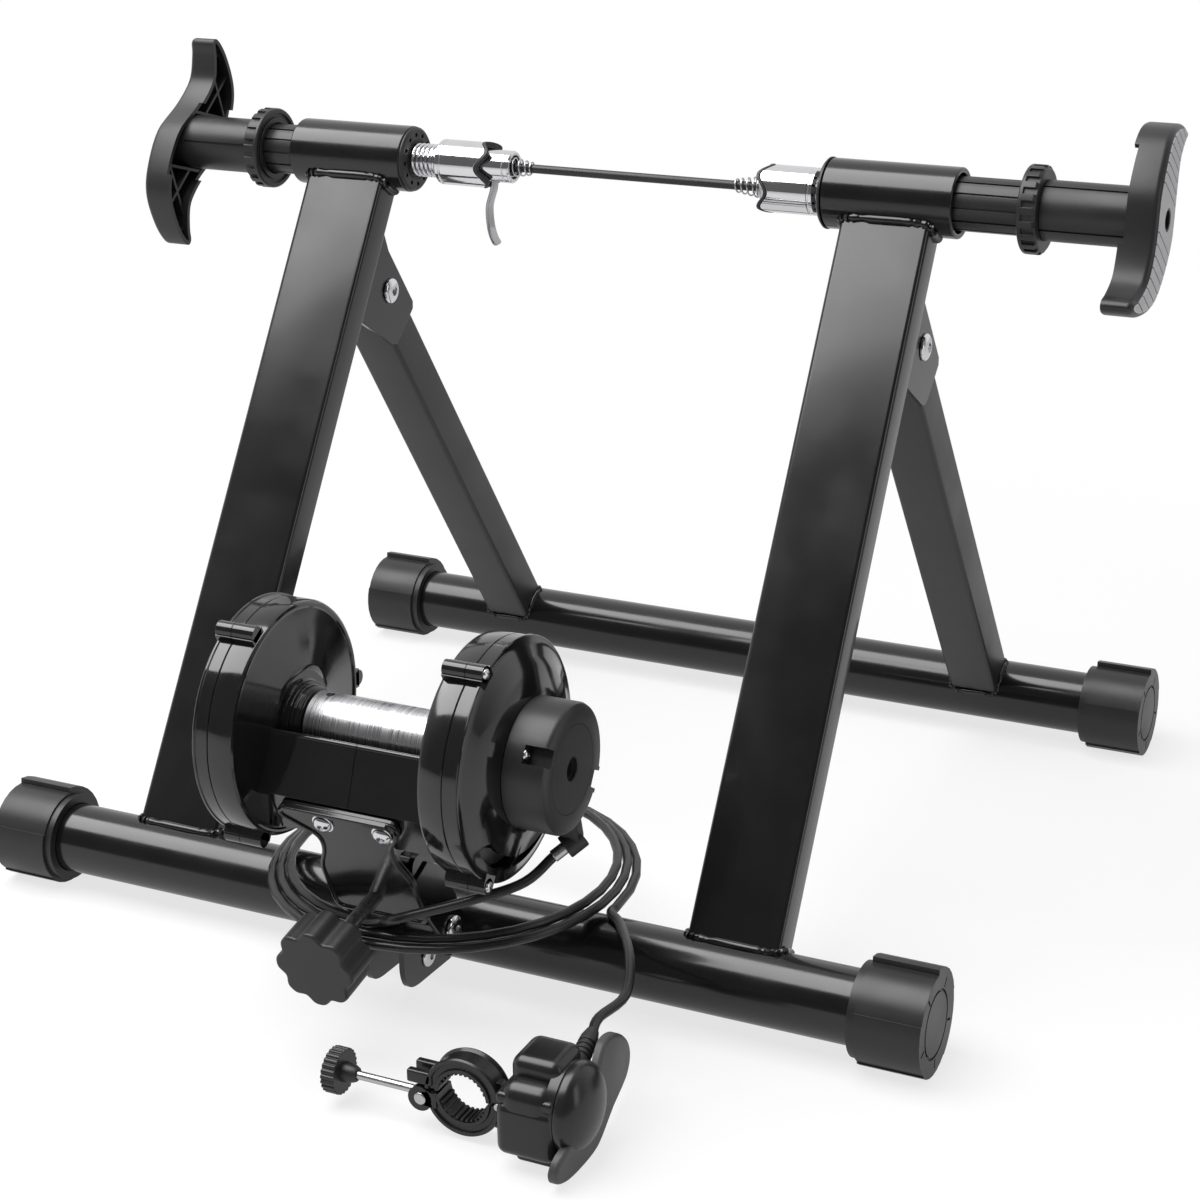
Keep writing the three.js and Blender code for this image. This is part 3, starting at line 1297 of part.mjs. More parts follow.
// The drum has flats and ridges outside, and carries the cable boot and the fixed half of the clamp
function shifterBody() {
  const r = half(shifterDrumDiameter);
  const [from, to] = [-half(shifterDrumLength), half(shifterDrumLength)];
  const drum = cut(
    rod(shifterDrumDiameter, from, to, fine),
    new THREE.BoxGeometry(shifterDrumLength * 2, r * 0.5, r * 0.5).translate(0, -r * 0.84, r * 0.66));
  const hood = new THREE.BoxGeometry(shifterDrumLength * 0.9, r * 0.9, r * 0.7).translate(0, r * 0.1, r * 0.8);
  const ledgeHeight = shifterHeight - r * 0.8;
  const ledge = new THREE.BoxGeometry(shifterFootLength, shifterFootWidth, ledgeHeight)
    .translate(0, 0, half(ledgeHeight) - shifterHeight);
  const turn = new THREE.Quaternion().setFromUnitVectors(new THREE.Vector3(1, 0, 0), bootWay);
  const boot = spun([[0, 0], [0, half(bootDiameter)], [bootLength * 0.55, half(bootDiameter)],
    [bootLength, half(cableDiameter) + overrun], [bootLength, 0]], coarse).applyQuaternion(turn)
    .translate(bootRoot.x, bootRoot.y, bootRoot.z);
  const ringX = from - barRingOffset + half(shifterDrumLength);
  const arm = new THREE.BoxGeometry(barRingOffset - half(shifterDrumLength) - half(barBore) + 3 * overrun, barRingWidth,
    barRingWidth).translate(from - 4 * overrun, 0, -half(barRingWidth));
  const pin = [ringX - half(barRingDiameter) - half(swingBarrelDiameter) * 0.4, -half(swingBarrelDiameter) * 0.9];
  const room = rod(swingBarrelDiameter, -barRingWidth * 0.23, barRingWidth * 0.23, coarse).rotateZ(Math.PI / 2)
    .translate(pin[0], 0, pin[1]);
  const clamp = asGeometry(cut(join(arm, jawRing(ringX, -1), ...clampLug(pin[0], pin[1])), room,
    barCylinder(ringX),
    pinHole(pin[0], pin[1], swingBoltDiameter + 2 * skewerPlay),
    hingeGap(ringX),
    pinHole(ringX + half(barRingDiameter) * 0.94, 0, swingBoltDiameter * 0.8))).translate(0, 0, -barRingDrop);
  piece('shifter_body', join(drum, hood, ledge, boot, clamp), satinPlastic, shifter);
  return { ringX, pin };
}

function barCylinder(x) {
  return rod(barBore, -barRingDiameter, barRingDiameter, fine).rotateZ(Math.PI / 2).translate(x, 0, 0);
}

function pinHole(x, z, diameter) {
  return rod(diameter, -barRingDiameter, barRingDiameter, coarse).rotateZ(Math.PI / 2).translate(x, 0, z);
}

// The upper or lower half of the ring that grips the bar, which lies along Y
function jawRing(x, sign) {
  const ring = pipe(barRingDiameter, barBore, -half(barRingWidth), half(barRingWidth), fine)
    .rotateZ(Math.PI / 2).translate(x, 0, 0);
  const keep = new THREE.BoxGeometry(2 * barRingDiameter, 2 * barRingWidth, barRingDiameter)
    .translate(x, 0, sign * half(barRingDiameter + jawGap));
  return asGeometry(solid(ring).intersect(solid(keep)));
}

// Two ears hold the barrel of the swing bolt between them
function clampLug(x, z) {
  const ear = barRingWidth * 0.27;
  return [-1, 1].map((sign) => rod(swingBarrelDiameter, -half(ear), half(ear), coarse)
    .rotateZ(Math.PI / 2).translate(x, sign * (half(barRingWidth) - half(ear)), z));
}

function hingeGap(x) {
  return new THREE.BoxGeometry(barRingWidth, barRingWidth * 0.4, barRingWidth).translate(x + half(barRingDiameter), 0, 0);
}

function shifterJaw(ringX) {
  const hinge = ringX + half(barRingDiameter) * 0.94;
  const knuckle = rod(swingBoltDiameter * 1.9, -barRingWidth * 0.18, barRingWidth * 0.18, coarse)
    .rotateZ(Math.PI / 2).translate(hinge, 0, 0);
  const forkLength = swingBarrelDiameter;
  const fork = new THREE.BoxGeometry(forkLength, barRingWidth, half(forkLength))
    .translate(ringX - half(barRingDiameter) - forkLength * 0.22, 0, forkLength * 0.42);
  const slot = new THREE.BoxGeometry(forkLength * 1.4, swingBoltDiameter * 1.5, forkLength * 2)
    .translate(ringX - half(barRingDiameter) - forkLength * 0.5, 0, 0);
  const shape = cut(join(jawRing(ringX, 1), fork), slot, barCylinder(ringX),
    new THREE.BoxGeometry(barRingWidth * 0.7, barRingWidth * 2, barRingWidth).translate(hinge + overrun, 0, 0));
  const jaw = asGeometry(join(shape, knuckle, hingeArm(hinge))).translate(0, 0, -barRingDrop);
  piece('bar_jaw', jaw, satinPlastic, shifter);
}

function hingeArm(x) {
  return new THREE.BoxGeometry(swingBoltDiameter * 1.2, barRingWidth * 0.36, swingBoltDiameter * 2.4)
    .translate(x - swingBoltDiameter * 0.6, 0, swingBoltDiameter * 1.3);
}

function swingBolt(pin) {
  const eye = rod(swingBarrelDiameter * 0.82, -barRingWidth * 0.2, barRingWidth * 0.2, coarse)
    .rotateZ(Math.PI / 2);
  const cross = rod(swingBoltDiameter, -half(barRingWidth) - overrun / 2, half(barRingWidth) + overrun / 2, coarse)
    .rotateZ(Math.PI / 2);
  const stem = rod(swingBoltDiameter, -swingBoltLength - swingBarrelDiameter / 2 - smallKnobLength, 0, coarse);
  const pinHeight = pin[1] - barRingDrop;
  piece('swing_bolt', asGeometry(join(eye, cross, stem)).translate(pin[0], 0, pinHeight), steel, shifter);

  const steps = smallKnobFlutes * 4;
  const radiusAt = (angle, i) => half(smallKnobDiameter) - (i % 4 < 2 ? 0 : overrun * 0.6);
  const end = -swingBoltLength - swingBarrelDiameter / 2;
  const wheel = plateAcross(polarShape(radiusAt, steps), end - smallKnobLength * 0.8, end);
  const hub = rod(swingBoltDiameter * 2.4, end - overrun, end + smallKnobLength * 0.8, coarse);
  const bore = rod(swingBoltDiameter + 2 * skewerPlay, end - smallKnobLength * 2, end + smallKnobLength * 2, coarse);
  piece('clamp_knob', asGeometry(cut(join(wheel, hub), bore)).translate(pin[0], 0, pinHeight), satinPlastic, shifter);
}

// The thumb lever: a domed hub with two curved wings
function thumbLever() {
  const start = half(shifterDrumLength) + fitGap;
  const dome = [];
  const steps = 6;
  for (let i = 0; i <= steps; i++) {
    const angle = (i / steps) * Math.PI / 2;
    dome.push([start + wingThickness / 2 + domeHeight * Math.sin(angle), half(domeDiameter) * Math.cos(angle)]);
  }
  const hub = spun([[start, 0], [start, half(domeDiameter)], ...dome.slice(0, -1), [dome[steps][0], 0]], round);
  const wing = new THREE.Shape();
  const [span, width] = [half(wingSpan), half(wingWidth)];
  const waist = width * wingWaistShare;
  wing.moveTo(-width, -span + wingCorner);
  wing.quadraticCurveTo(-width, -span, -width + wingCorner, -span);
  wing.lineTo(width - wingCorner, -span);
  wing.quadraticCurveTo(width, -span, width, -span + wingCorner);
  wing.quadraticCurveTo(waist, 0, width, span - wingCorner);
  wing.quadraticCurveTo(width, span, width - wingCorner, span);
  wing.lineTo(-width + wingCorner, span);
  wing.quadraticCurveTo(-width, span, -width, span - wingCorner);
  wing.quadraticCurveTo(-waist, 0, -width, -span + wingCorner);
  const paddle = plateAcross(wing, start + wingThickness, start + 2 * wingThickness, 6).rotateX(-wingTilt);
  piece('thumb_lever', join(hub, paddle), satinPlastic, shifter);
}

function remoteShifter() {
  const { ringX, pin } = shifterBody();
  shifterJaw(ringX);
  swingBolt(pin);
  thumbLever();
}

frontFrame();
rearFrame();
footCaps();
axleClamps();
skewer();
unit.updateMatrixWorld(true);
cradle('cradle_left', -1);
cradle('cradle_right', 1);
outerShells();
brakeCap();
rotor();
magnetCarrier();
unitBracket();
tensionKnob();
remoteShifter();
cable();

const cordNames = ['cable_lead', 'cable_coil', 'cable_tail'];
const bounds = new THREE.Box3();
stand.updateMatrixWorld(true);
stand.traverse((node) => {
  if (node.isMesh && !cordNames.includes(node.name)) bounds.expandByObject(node, true);
});
const centre = bounds.getCenter(new THREE.Vector3());
stand.position.set(-centre.x, -centre.y, -bounds.min.z);

export default stand;
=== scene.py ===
# %% [markdown]
# A folding stand that turns a bicycle into an exercise machine. The rear wheel rolls on a steel
# roller, and two clamps with S-shaped handles hold the axle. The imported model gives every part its
# place, so this lesson only has to dress the parts: rounder forms, bevelled edges, welds, grooves
# and screws, and a finish for each of them.

# %% Load the frame
import math

import bmesh
import bpy
from mathutils import Matrix, Vector


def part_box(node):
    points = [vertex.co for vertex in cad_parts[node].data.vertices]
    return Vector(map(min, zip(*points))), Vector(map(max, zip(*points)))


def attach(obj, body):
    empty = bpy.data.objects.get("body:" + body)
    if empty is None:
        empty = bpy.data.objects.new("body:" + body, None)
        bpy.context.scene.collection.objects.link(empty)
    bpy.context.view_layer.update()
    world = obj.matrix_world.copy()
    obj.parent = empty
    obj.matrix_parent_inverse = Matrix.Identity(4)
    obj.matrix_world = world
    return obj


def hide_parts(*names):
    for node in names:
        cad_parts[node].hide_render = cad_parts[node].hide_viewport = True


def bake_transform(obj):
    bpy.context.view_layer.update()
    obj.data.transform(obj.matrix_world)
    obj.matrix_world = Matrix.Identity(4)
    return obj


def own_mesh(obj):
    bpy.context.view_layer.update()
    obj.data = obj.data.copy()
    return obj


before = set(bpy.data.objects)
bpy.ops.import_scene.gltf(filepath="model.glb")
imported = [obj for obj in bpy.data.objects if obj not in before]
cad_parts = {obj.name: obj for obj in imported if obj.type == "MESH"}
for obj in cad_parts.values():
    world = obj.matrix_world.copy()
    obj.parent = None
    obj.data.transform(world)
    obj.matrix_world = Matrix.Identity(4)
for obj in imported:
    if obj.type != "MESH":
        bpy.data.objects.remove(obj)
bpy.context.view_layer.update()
scene = bpy.context.scene
print("loaded", len(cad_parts), "nodes")

# %% [markdown]
# The stand was drawn in millimetres about the axis of its front tube. Working in the same way here
# keeps the numbers readable, so each form is made in millimetres and scaled once when it is done.

# %% Units and places
MM = 0.001


def middle(node):
    low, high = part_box(node)
    return (Vector(low) + Vector(high)) / 2


front_axis = middle("front_tube")
stand = Matrix.Translation(front_axis) @ Matrix.Scale(MM, 4)
here = Matrix.Identity(4)


def place_of(node, turn=here):
    centre = (middle(node) - front_axis) / MM
    return Matrix.Translation((0, centre.y, centre.z)) @ turn


clamp_line = place_of("clamp_sleeve_left")
rear_line = place_of("rear_tube")
unit_lean = math.radians(-21.4)
unit_line = place_of("roller", Matrix.Rotation(unit_lean, 4, "X"))
print("clamp axis", clamp_line.translation, "roller axis", unit_line.translation)

# %% [markdown]
# Round parts are half-sections spun about the X axis. A spin is the quickest way to a true round
# form, and the section reads like a workshop drawing: a list of places along the axis and radii. The
# dome of a screw or a cover is a quarter of an oval in that list.

# %% Forms made by spinning
TINY = 0.002
TURN = 2 * math.pi


def spun(section, steps=96, closed=False):
    bm = bmesh.new()
    points = [bm.verts.new((x, 0, r)) for x, r in section]
    pairs = list(zip(points, points[1:]))
    if closed:
        pairs.append((points[-1], points[0]))
    edges = [bm.edges.new(pair) for pair in pairs]
    bmesh.ops.spin(bm, geom=points + edges, cent=(0, 0, 0), axis=(1, 0, 0), angle=TURN, steps=steps,
                   use_merge=True, use_duplicate=False)
    bmesh.ops.remove_doubles(bm, verts=bm.verts, dist=TINY)
    bmesh.ops.dissolve_degenerate(bm, edges=bm.edges, dist=TINY)
    bmesh.ops.recalc_face_normals(bm, faces=bm.faces)
    return bm


def rod(radius, start, end, steps=48):
    return spun([(start, 0), (start, radius), (end, radius), (end, 0)], steps)


def pipe(outer, inner, start, end, steps=96):
    return spun([(start, inner), (start, outer), (end, outer), (end, inner)], steps, closed=True)


def domed(x, radius, height, steps=8):
    angles = [i / steps * math.pi / 2 for i in range(1, steps + 1)]
    return [(x + height * math.sin(a), radius * max(math.cos(a), 0)) for a in angles]


# %% [markdown]
# Flat parts start as one face, drawn across the stand (Y and Z), and are extruded along X. Blocks are
# plain cubes that are stretched here and bevelled later. Sets of forms are gathered into one mesh.
# What repeats round the axis, such as screws and flutes, is placed by a radius and an angle.

# %% Forms made by extruding
def slab(outline, start, end):
    bm = bmesh.new()
    face = bm.faces.new([bm.verts.new((start, y, z)) for y, z in outline])
    grown = bmesh.ops.extrude_face_region(bm, geom=[face])
    far_side = [item for item in grown["geom"] if isinstance(item, bmesh.types.BMVert)]
    bmesh.ops.translate(bm, verts=far_side, vec=(end - start, 0, 0))
    bmesh.ops.recalc_face_normals(bm, faces=bm.faces)
    return bm


def block(size, centre=(0, 0, 0), turn=here):
    bm = bmesh.new()
    shape = Matrix.Translation(centre) @ turn @ Matrix.Diagonal((*size, 1))
    bmesh.ops.create_cube(bm, size=1, matrix=shape)
    return bm


def moved(bm, matrix):
    bmesh.ops.transform(bm, matrix=matrix, verts=bm.verts)
    if matrix.determinant() < 0:
        bmesh.ops.reverse_faces(bm, faces=bm.faces)
    return bm


def gathered(*parts):
    whole = bmesh.new()
    for part in parts:
        mesh = bpy.data.meshes.new("part")
        part.to_mesh(mesh)
        part.free()
        whole.from_mesh(mesh)
        bpy.data.meshes.remove(mesh)
    return whole


def around(radius, a):
    return radius * math.cos(a), radius * math.sin(a)


def rolled(a):
    return Matrix.Rotation(a, 4, "X")


def circle(radius, count, centre=(0, 0), start=0, sweep=TURN):
    full = abs(sweep - TURN) < TINY
    share = count if full else count - 1
    angles = [start + sweep * i / share for i in range(count)]
    return [(centre[0] + radius * math.cos(a), centre[1] + radius * math.sin(a)) for a in angles]


def hexagon(radius):
    return circle(radius, 6)


# %% [markdown]
# Smooth lines run through a few points, which is how a draughtsman would rule a curve: each span is
# bent by the two points on either side of it. An outline can be open or closed, and drawn in.

# %% Smooth lines
def bent(a, b, c, d, f):
    slope = c - a
    bow = 2 * a - 5 * b + 4 * c - d
    twist = 3 * b - a - 3 * c + d
    return 0.5 * (2 * b + slope * f + bow * f * f + twist * f ** 3)


def smooth_line(points, count):
    out = []
    spans = len(points) - 1
    for i in range(count + 1):
        t = min(i / count * spans, spans - 1e-6)
        k = int(t)
        near = [points[min(max(k + d, 0), spans)] for d in (-1, 0, 1, 2)]
        out.append(tuple(bent(*values, t - k) for values in zip(*near)))
    return out


def closed_line(points, steps):
    out = []
    for k in range(len(points)):
        near = [points[(k + d) % len(points)] for d in (-1, 0, 1, 2)]
        out += [tuple(bent(*values, i / steps) for values in zip(*near)) for i in range(steps)]
    return out


def inset(outline, depth):
    out = []
    for k, (y, z) in enumerate(outline):
        before, after = outline[k - 1], outline[(k + 1) % len(outline)]
        way = Vector((after[0] - before[0], after[1] - before[1])).normalized()
        out.append((y - depth * way.y, z + depth * way.x))
    return out


def squarish(value, power):
    return math.copysign(abs(value) ** power, value)


# %% [markdown]
# A pillow is a closed form over a smooth outline: its far face swells a little, drops towards the ends
# and rounds over at the edge. An extrusion with a bevel would keep a flat face, and a moulded handle
# has none. So the pillow is made row by row, which gives the light an even surface to run over.

# %% Pillows
TIP_SHARE = 0.9998


def row_ends(outline, height):
    hits = []
    for (ay, az), (by, bz) in zip(outline, outline[1:] + outline[:1]):
        if (az - height) * (bz - height) <= 0 and az != bz:
            hits.append(ay + (by - ay) * (height - az) / (bz - az))
    return min(hits), max(hits)


def edge_distance(outline, y, z):
    best = math.inf
    for (ay, az), (by, bz) in zip(outline, outline[1:] + outline[:1]):
        wy, wz = by - ay, bz - az
        share = min(max(((y - ay) * wy + (z - az) * wz) / (wy * wy + wz * wz + 1e-9), 0), 1)
        best = min(best, math.hypot(y - ay - share * wy, z - az - share * wz))
    return best


def pillow(outline, end, edge, swell, base=None, skin=None, rows=64, columns=20):
    low = min(z for y, z in outline)
    high = max(z for y, z in outline)
    reach = (high - low) / 2 * TIP_SHARE
    top, bottom = [], []
    bm = bmesh.new()
    for i in range(rows + 1):
        height = (low + high) / 2 + reach * math.sin(math.pi * (i / rows - 0.5))
        left, right = row_ends(outline, height)
        upper, lower = [], []
        for j in range(columns + 1):
            y = left + (right - left) * (0.5 - 0.5 * math.cos(math.pi * j / columns))
            crown = end - (y * y + height * height) / (2 * swell)
            near = max(1 - edge_distance(outline, y, height) / edge, 0)
            rounded = crown - edge * (1 - math.sqrt(max(1 - near * near, 0)))
            upper.append(bm.verts.new((rounded, y, height)))
            lower.append(bm.verts.new((base if skin is None else crown - skin - edge, y, height)))
        top.append(upper)
        bottom.append(lower)
    for sheet in (top, bottom):
        for a, b in zip(sheet, sheet[1:]):
            for j in range(columns):
                bm.faces.new((a[j], a[j + 1], b[j + 1], b[j]))
    rim = [(i, 0) for i in range(rows)] + [(rows, j) for j in range(columns)]
    rim += [(i, columns) for i in range(rows, 0, -1)] + [(0, j) for j in range(columns, 0, -1)]
    for (i, j), (k, m) in zip(rim, rim[1:] + rim[:1]):
        bm.faces.new((top[i][j], top[k][m], bottom[k][m], bottom[i][j]))
    bmesh.ops.recalc_face_normals(bm, faces=bm.faces)
    return bm


# %% [markdown]
# Holes, slots and notches are cut with a Boolean modifier that is applied at once, so that no hidden
# cutter stays in the scene. All the cutters of a part go into one mesh.

# %% Cutting
def as_object(bm, name):
    mesh = bpy.data.meshes.new(name)
    bm.to_mesh(mesh)
    bm.free()
    item = bpy.data.objects.new(name, mesh)
    scene.collection.objects.link(item)
    return item


def combined(bm, tool, operation):
    base = as_object(bm, "blank")
    cutter = as_object(tool, "cutter")
    change = base.modifiers.new("cut", "BOOLEAN")
    change.operation = operation
    change.solver = "EXACT"
    change.use_self = True
    change.object = cutter
    graph = bpy.context.evaluated_depsgraph_get()
    result = bpy.data.meshes.new_from_object(base.evaluated_get(graph))
    out = bmesh.new()
    out.from_mesh(result)
    for item in (base, cutter):
        mesh = item.data
        bpy.data.objects.remove(item)
        bpy.data.meshes.remove(mesh)
    bpy.data.meshes.remove(result)
    return out


def cut(bm, *tools):
    return combined(bm, gathered(*tools), "DIFFERENCE")


# %% [markdown]
# Every finished piece gets small rounded edges, because a sharp edge catches no light. The bevel
# works on edges steeper than a limit, and smooth shading with hardened normals keeps flat faces flat.
# Wires and weld beads are curves with a round section, turned into meshes so that they can be dressed
# in the same way.

# %% Finishing a piece
EDGE_LIMIT = math.radians(34)
pieces = []


def finish(bm, name, material, body, replaced=(), place=here, edge=0.5, segments=2, limit=EDGE_LIMIT):
    bmesh.ops.transform(bm, matrix=stand @ place, verts=bm.verts)
    if (stand @ place).determinant() < 0:
        bmesh.ops.reverse_faces(bm, faces=bm.faces)
    for face in bm.faces:
        face.smooth = True
    piece = as_object(bm, name)
    piece.data.materials.append(material)
    if edge:
        bevel = piece.modifiers.new("edges", "BEVEL")
        bevel.width = edge * MM
        bevel.segments = segments
        bevel.limit_method = "ANGLE"
        bevel.angle_limit = limit
        bevel.harden_normals = True
        bevel.use_clamp_overlap = True
    else:
        piece.data.set_sharp_from_angle(angle=limit)
    if replaced:
        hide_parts(*replaced)
    if body:
        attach(piece, body)
    pieces.append(piece)
    return piece


def wire(points, radius, name, material, body, replaced=(), place=here, sides=5, radii=None,
         cyclic=False):
    line = bpy.data.curves.new(name, "CURVE")
    line.dimensions = "3D"
    line.bevel_depth = radius * MM
    line.bevel_resolution = sides
    line.use_fill_caps = True
    spline = line.splines.new("POLY")
    spline.points.add(len(points) - 1)
    spline.use_cyclic_u = cyclic
    for i, point in enumerate(points):
        spline.points[i].co = (*(stand @ place @ Vector(point)), 1)
        spline.points[i].radius = radii[i] if radii else 1
    curve = bpy.data.objects.new(name, line)
    scene.collection.objects.link(curve)
    graph = bpy.context.evaluated_depsgraph_get()
    mesh = bpy.data.meshes.new_from_object(curve.evaluated_get(graph))
    bpy.data.objects.remove(curve)
    bpy.data.curves.remove(line)
    bm = bmesh.new()
    bm.from_mesh(mesh)
    bpy.data.meshes.remove(mesh)
    bmesh.ops.remove_doubles(bm, verts=bm.verts, dist=TINY * MM)
    bmesh.ops.recalc_face_normals(bm, faces=bm.faces)
    bmesh.ops.transform(bm, matrix=(stand @ place).inverted(), verts=bm.verts)
    return finish(bm, name, material, body, replaced, place, edge=0)


# %% [markdown]
# Finishes. Two node groups are shared by all materials. One makes the fine relief that every painted
# or moulded surface has, the other makes the soft uneven patches that handling and plating leave.

# %% Node groups
def new_group(name, inputs, outputs):
    tree = bpy.data.node_groups.new(name, "ShaderNodeTree")
    for label, value in inputs:
        socket = tree.interface.new_socket(label, in_out="INPUT", socket_type="NodeSocketFloat")
        socket.default_value = value
    for label in outputs:
        tree.interface.new_socket(label, in_out="OUTPUT", socket_type="NodeSocketFloat")
    return tree, tree.nodes.new("NodeGroupInput"), tree.nodes.new("NodeGroupOutput")


def group_noise(tree, scale_socket, detail, vector):
    noise = tree.nodes.new("ShaderNodeTexNoise")
    noise.inputs["Detail"].default_value = detail
    tree.links.new(vector, noise.inputs["Vector"])
    tree.links.new(scale_socket, noise.inputs["Scale"])
    return noise


grain_group, grain_in, grain_out = new_group("Surface grain", [("Scale", 1500.0)], ["Height"])
grain_place = grain_group.nodes.new("ShaderNodeTexCoord")
grain_noise = group_noise(grain_group, grain_in.outputs["Scale"], 2.0, grain_place.outputs["Object"])
grain_group.links.new(grain_noise.outputs["Fac"], grain_out.inputs["Height"])

patch_group, patch_in, patch_out = new_group(
    "Handled patches", [("Scale", 25.0), ("Low", 0.2), ("High", 0.4)], ["Value", "Mask"])
patch_place = patch_group.nodes.new("ShaderNodeTexCoord")
patch_noise = group_noise(patch_group, patch_in.outputs["Scale"], 5.0, patch_place.outputs["Object"])
patch_range = patch_group.nodes.new("ShaderNodeMapRange")
patch_range.inputs["From Min"].default_value = 0.35
patch_range.inputs["From Max"].default_value = 0.65
patch_group.links.new(patch_noise.outputs["Fac"], patch_range.inputs["Value"])
patch_group.links.new(patch_in.outputs["Low"], patch_range.inputs["To Min"])
patch_group.links.new(patch_in.outputs["High"], patch_range.inputs["To Max"])
patch_group.links.new(patch_range.outputs["Result"], patch_out.inputs["Value"])
patch_group.links.new(patch_noise.outputs["Fac"], patch_out.inputs["Mask"])

# %% [markdown]
# One function lays out a material: its colour shifts a little between two tones, its roughness
# follows the patches, and the grain drives a bump.

# %% One finish
COAT_ROUGHNESS = 0.08
RELIEF_STRENGTH = 0.6


def finish_of(name, dark, light, rough, grain, depth, metallic=0.0, coat=0.0, patches=25.0):
    material = bpy.data.materials.new(name)
    material.use_nodes = True
    nodes, links = material.node_tree.nodes, material.node_tree.links
    shader = nodes["Principled BSDF"]
    shader.inputs["Metallic"].default_value = metallic
    shader.inputs["Coat Weight"].default_value = coat
    shader.inputs["Coat Roughness"].default_value = COAT_ROUGHNESS
    patch = nodes.new("ShaderNodeGroup")
    patch.node_tree = patch_group
    patch.inputs["Scale"].default_value = patches
    patch.inputs["Low"].default_value = rough[0]
    patch.inputs["High"].default_value = rough[1]
    links.new(patch.outputs["Value"], shader.inputs["Roughness"])
    tone = nodes.new("ShaderNodeMix")
    tone.data_type = "RGBA"
    tone.inputs["A"].default_value = (*dark, 1)
    tone.inputs["B"].default_value = (*light, 1)
    links.new(patch.outputs["Mask"], tone.inputs["Factor"])
    links.new(tone.outputs["Result"], shader.inputs["Base Color"])
    relief = nodes.new("ShaderNodeGroup")
    relief.node_tree = grain_group
    relief.inputs["Scale"].default_value = grain
    bump = nodes.new("ShaderNodeBump")
    bump.inputs["Distance"].default_value = depth * MM
    bump.inputs["Strength"].default_value = RELIEF_STRENGTH
    links.new(relief.outputs["Height"], bump.inputs["Height"])
    links.new(bump.outputs["Normal"], shader.inputs["Normal"])
    return material


def grey(value):
    return (value, value, value * 1.03)


# %% [markdown]
# The stand has few colours but many finishes: sprayed paint, glossy and satin mouldings, a grey grip,
# vinyl, chrome, zinc and plain steel. Nearly all of them are black, so the roughness tells them apart.
# Two numbers in brackets are the smoothest and the roughest patch.

# %% Materials
paint = finish_of("semi-gloss black paint", grey(0.004), grey(0.007), (0.17, 0.24), 1100.0, 0.02, coat=0.25)
dark_paint = finish_of("satin black paint", grey(0.014), grey(0.022), (0.36, 0.44), 1300.0, 0.02)
gloss = finish_of("glossy black plastic", grey(0.006), grey(0.009), (0.07, 0.15), 260.0, 0.02,
                  coat=0.5, patches=60.0)
satin_gloss = finish_of("semi-gloss black plastic", grey(0.009), grey(0.014), (0.2, 0.3), 1600.0, 0.02)
satin = finish_of("satin black plastic", grey(0.012), grey(0.019), (0.34, 0.44), 2600.0, 0.03)
matt = finish_of("matt black plastic", grey(0.016), grey(0.024), (0.46, 0.56), 3200.0, 0.04)
grip = finish_of("grey textured grip", grey(0.4), grey(0.5), (0.5, 0.6), 2400.0, 0.08)
# The wings of the thumb lever get a lighter tone of the same black plastic as its dome: painted sheen.
wing_plastic = finish_of("black plastic lightened as painted sheen", grey(0.042), grey(0.058), (0.42, 0.52), 2600.0, 0.03)
vinyl = finish_of("black vinyl cable", grey(0.012), grey(0.018), (0.26, 0.36), 1800.0, 0.015)
chrome = finish_of("bright chrome", grey(0.74), grey(0.82), (0.05, 0.11), 400.0, 0.002,
                   metallic=1.0, patches=90.0)
polished = finish_of("polished steel", grey(0.4), grey(0.5), (0.1, 0.18), 400.0, 0.004,
                     metallic=1.0, patches=90.0)
zinc = finish_of("zinc-plated steel", grey(0.5), grey(0.62), (0.22, 0.34), 900.0, 0.01,
                 metallic=1.0, patches=120.0)
dull_zinc = finish_of("cast steel", grey(0.2), grey(0.28), (0.4, 0.55), 900.0, 0.03,
                      metallic=1.0, patches=120.0)
# A near-black that is painted shade: it darkens the hole of the brake cap and the magnet carrier inside the
# unit.
deep = finish_of("near-black painted shade", grey(0.003), grey(0.005), (0.6, 0.7), 1500.0, 0.02)
print("plain finishes", len(bpy.data.materials))

# %% [markdown]
# The roller and the nut keep the fine rings of the lathe. A noise that is stretched along those rings
# drives both the roughness and a slight bump, so a highlight breaks into thin streaks.

# %% Brushed steel
def brushed_finish(name, tone, rough, stretch):
    material = finish_of(name, grey(tone * 0.9), grey(tone), rough, 900.0, 0.002, metallic=1.0, patches=60.0)
    nodes, links = material.node_tree.nodes, material.node_tree.links
    shader = nodes["Principled BSDF"]
    place = nodes.new("ShaderNodeTexCoord")
    mapping = nodes.new("ShaderNodeMapping")
    mapping.inputs["Scale"].default_value = stretch
    lines = nodes.new("ShaderNodeTexNoise")
    lines.inputs["Detail"].default_value = 2.0
    lines.inputs["Scale"].default_value = 1.0
    spread = nodes.new("ShaderNodeMapRange")
    spread.inputs["From Min"].default_value = 0.3
    spread.inputs["From Max"].default_value = 0.7
    spread.inputs["To Min"].default_value = rough[0]
    spread.inputs["To Max"].default_value = rough[1] + 0.1
    links.new(place.outputs["Object"], mapping.inputs["Vector"])
    links.new(mapping.outputs["Vector"], lines.inputs["Vector"])
    links.new(lines.outputs["Fac"], spread.inputs["Value"])
    links.new(spread.outputs["Result"], shader.inputs["Roughness"])
    bump = nodes.new("ShaderNodeBump")
    bump.inputs["Distance"].default_value = 0.01 * MM
    bump.inputs["Strength"].default_value = 0.1
    links.new(lines.outputs["Fac"], bump.inputs["Height"])
    links.new(bump.outputs["Normal"], shader.inputs["Normal"])
    return material


brushed = brushed_finish("brushed roller steel", 0.66, (0.2, 0.3), (1400.0, 20.0, 20.0))
print("materials", len(bpy.data.materials))

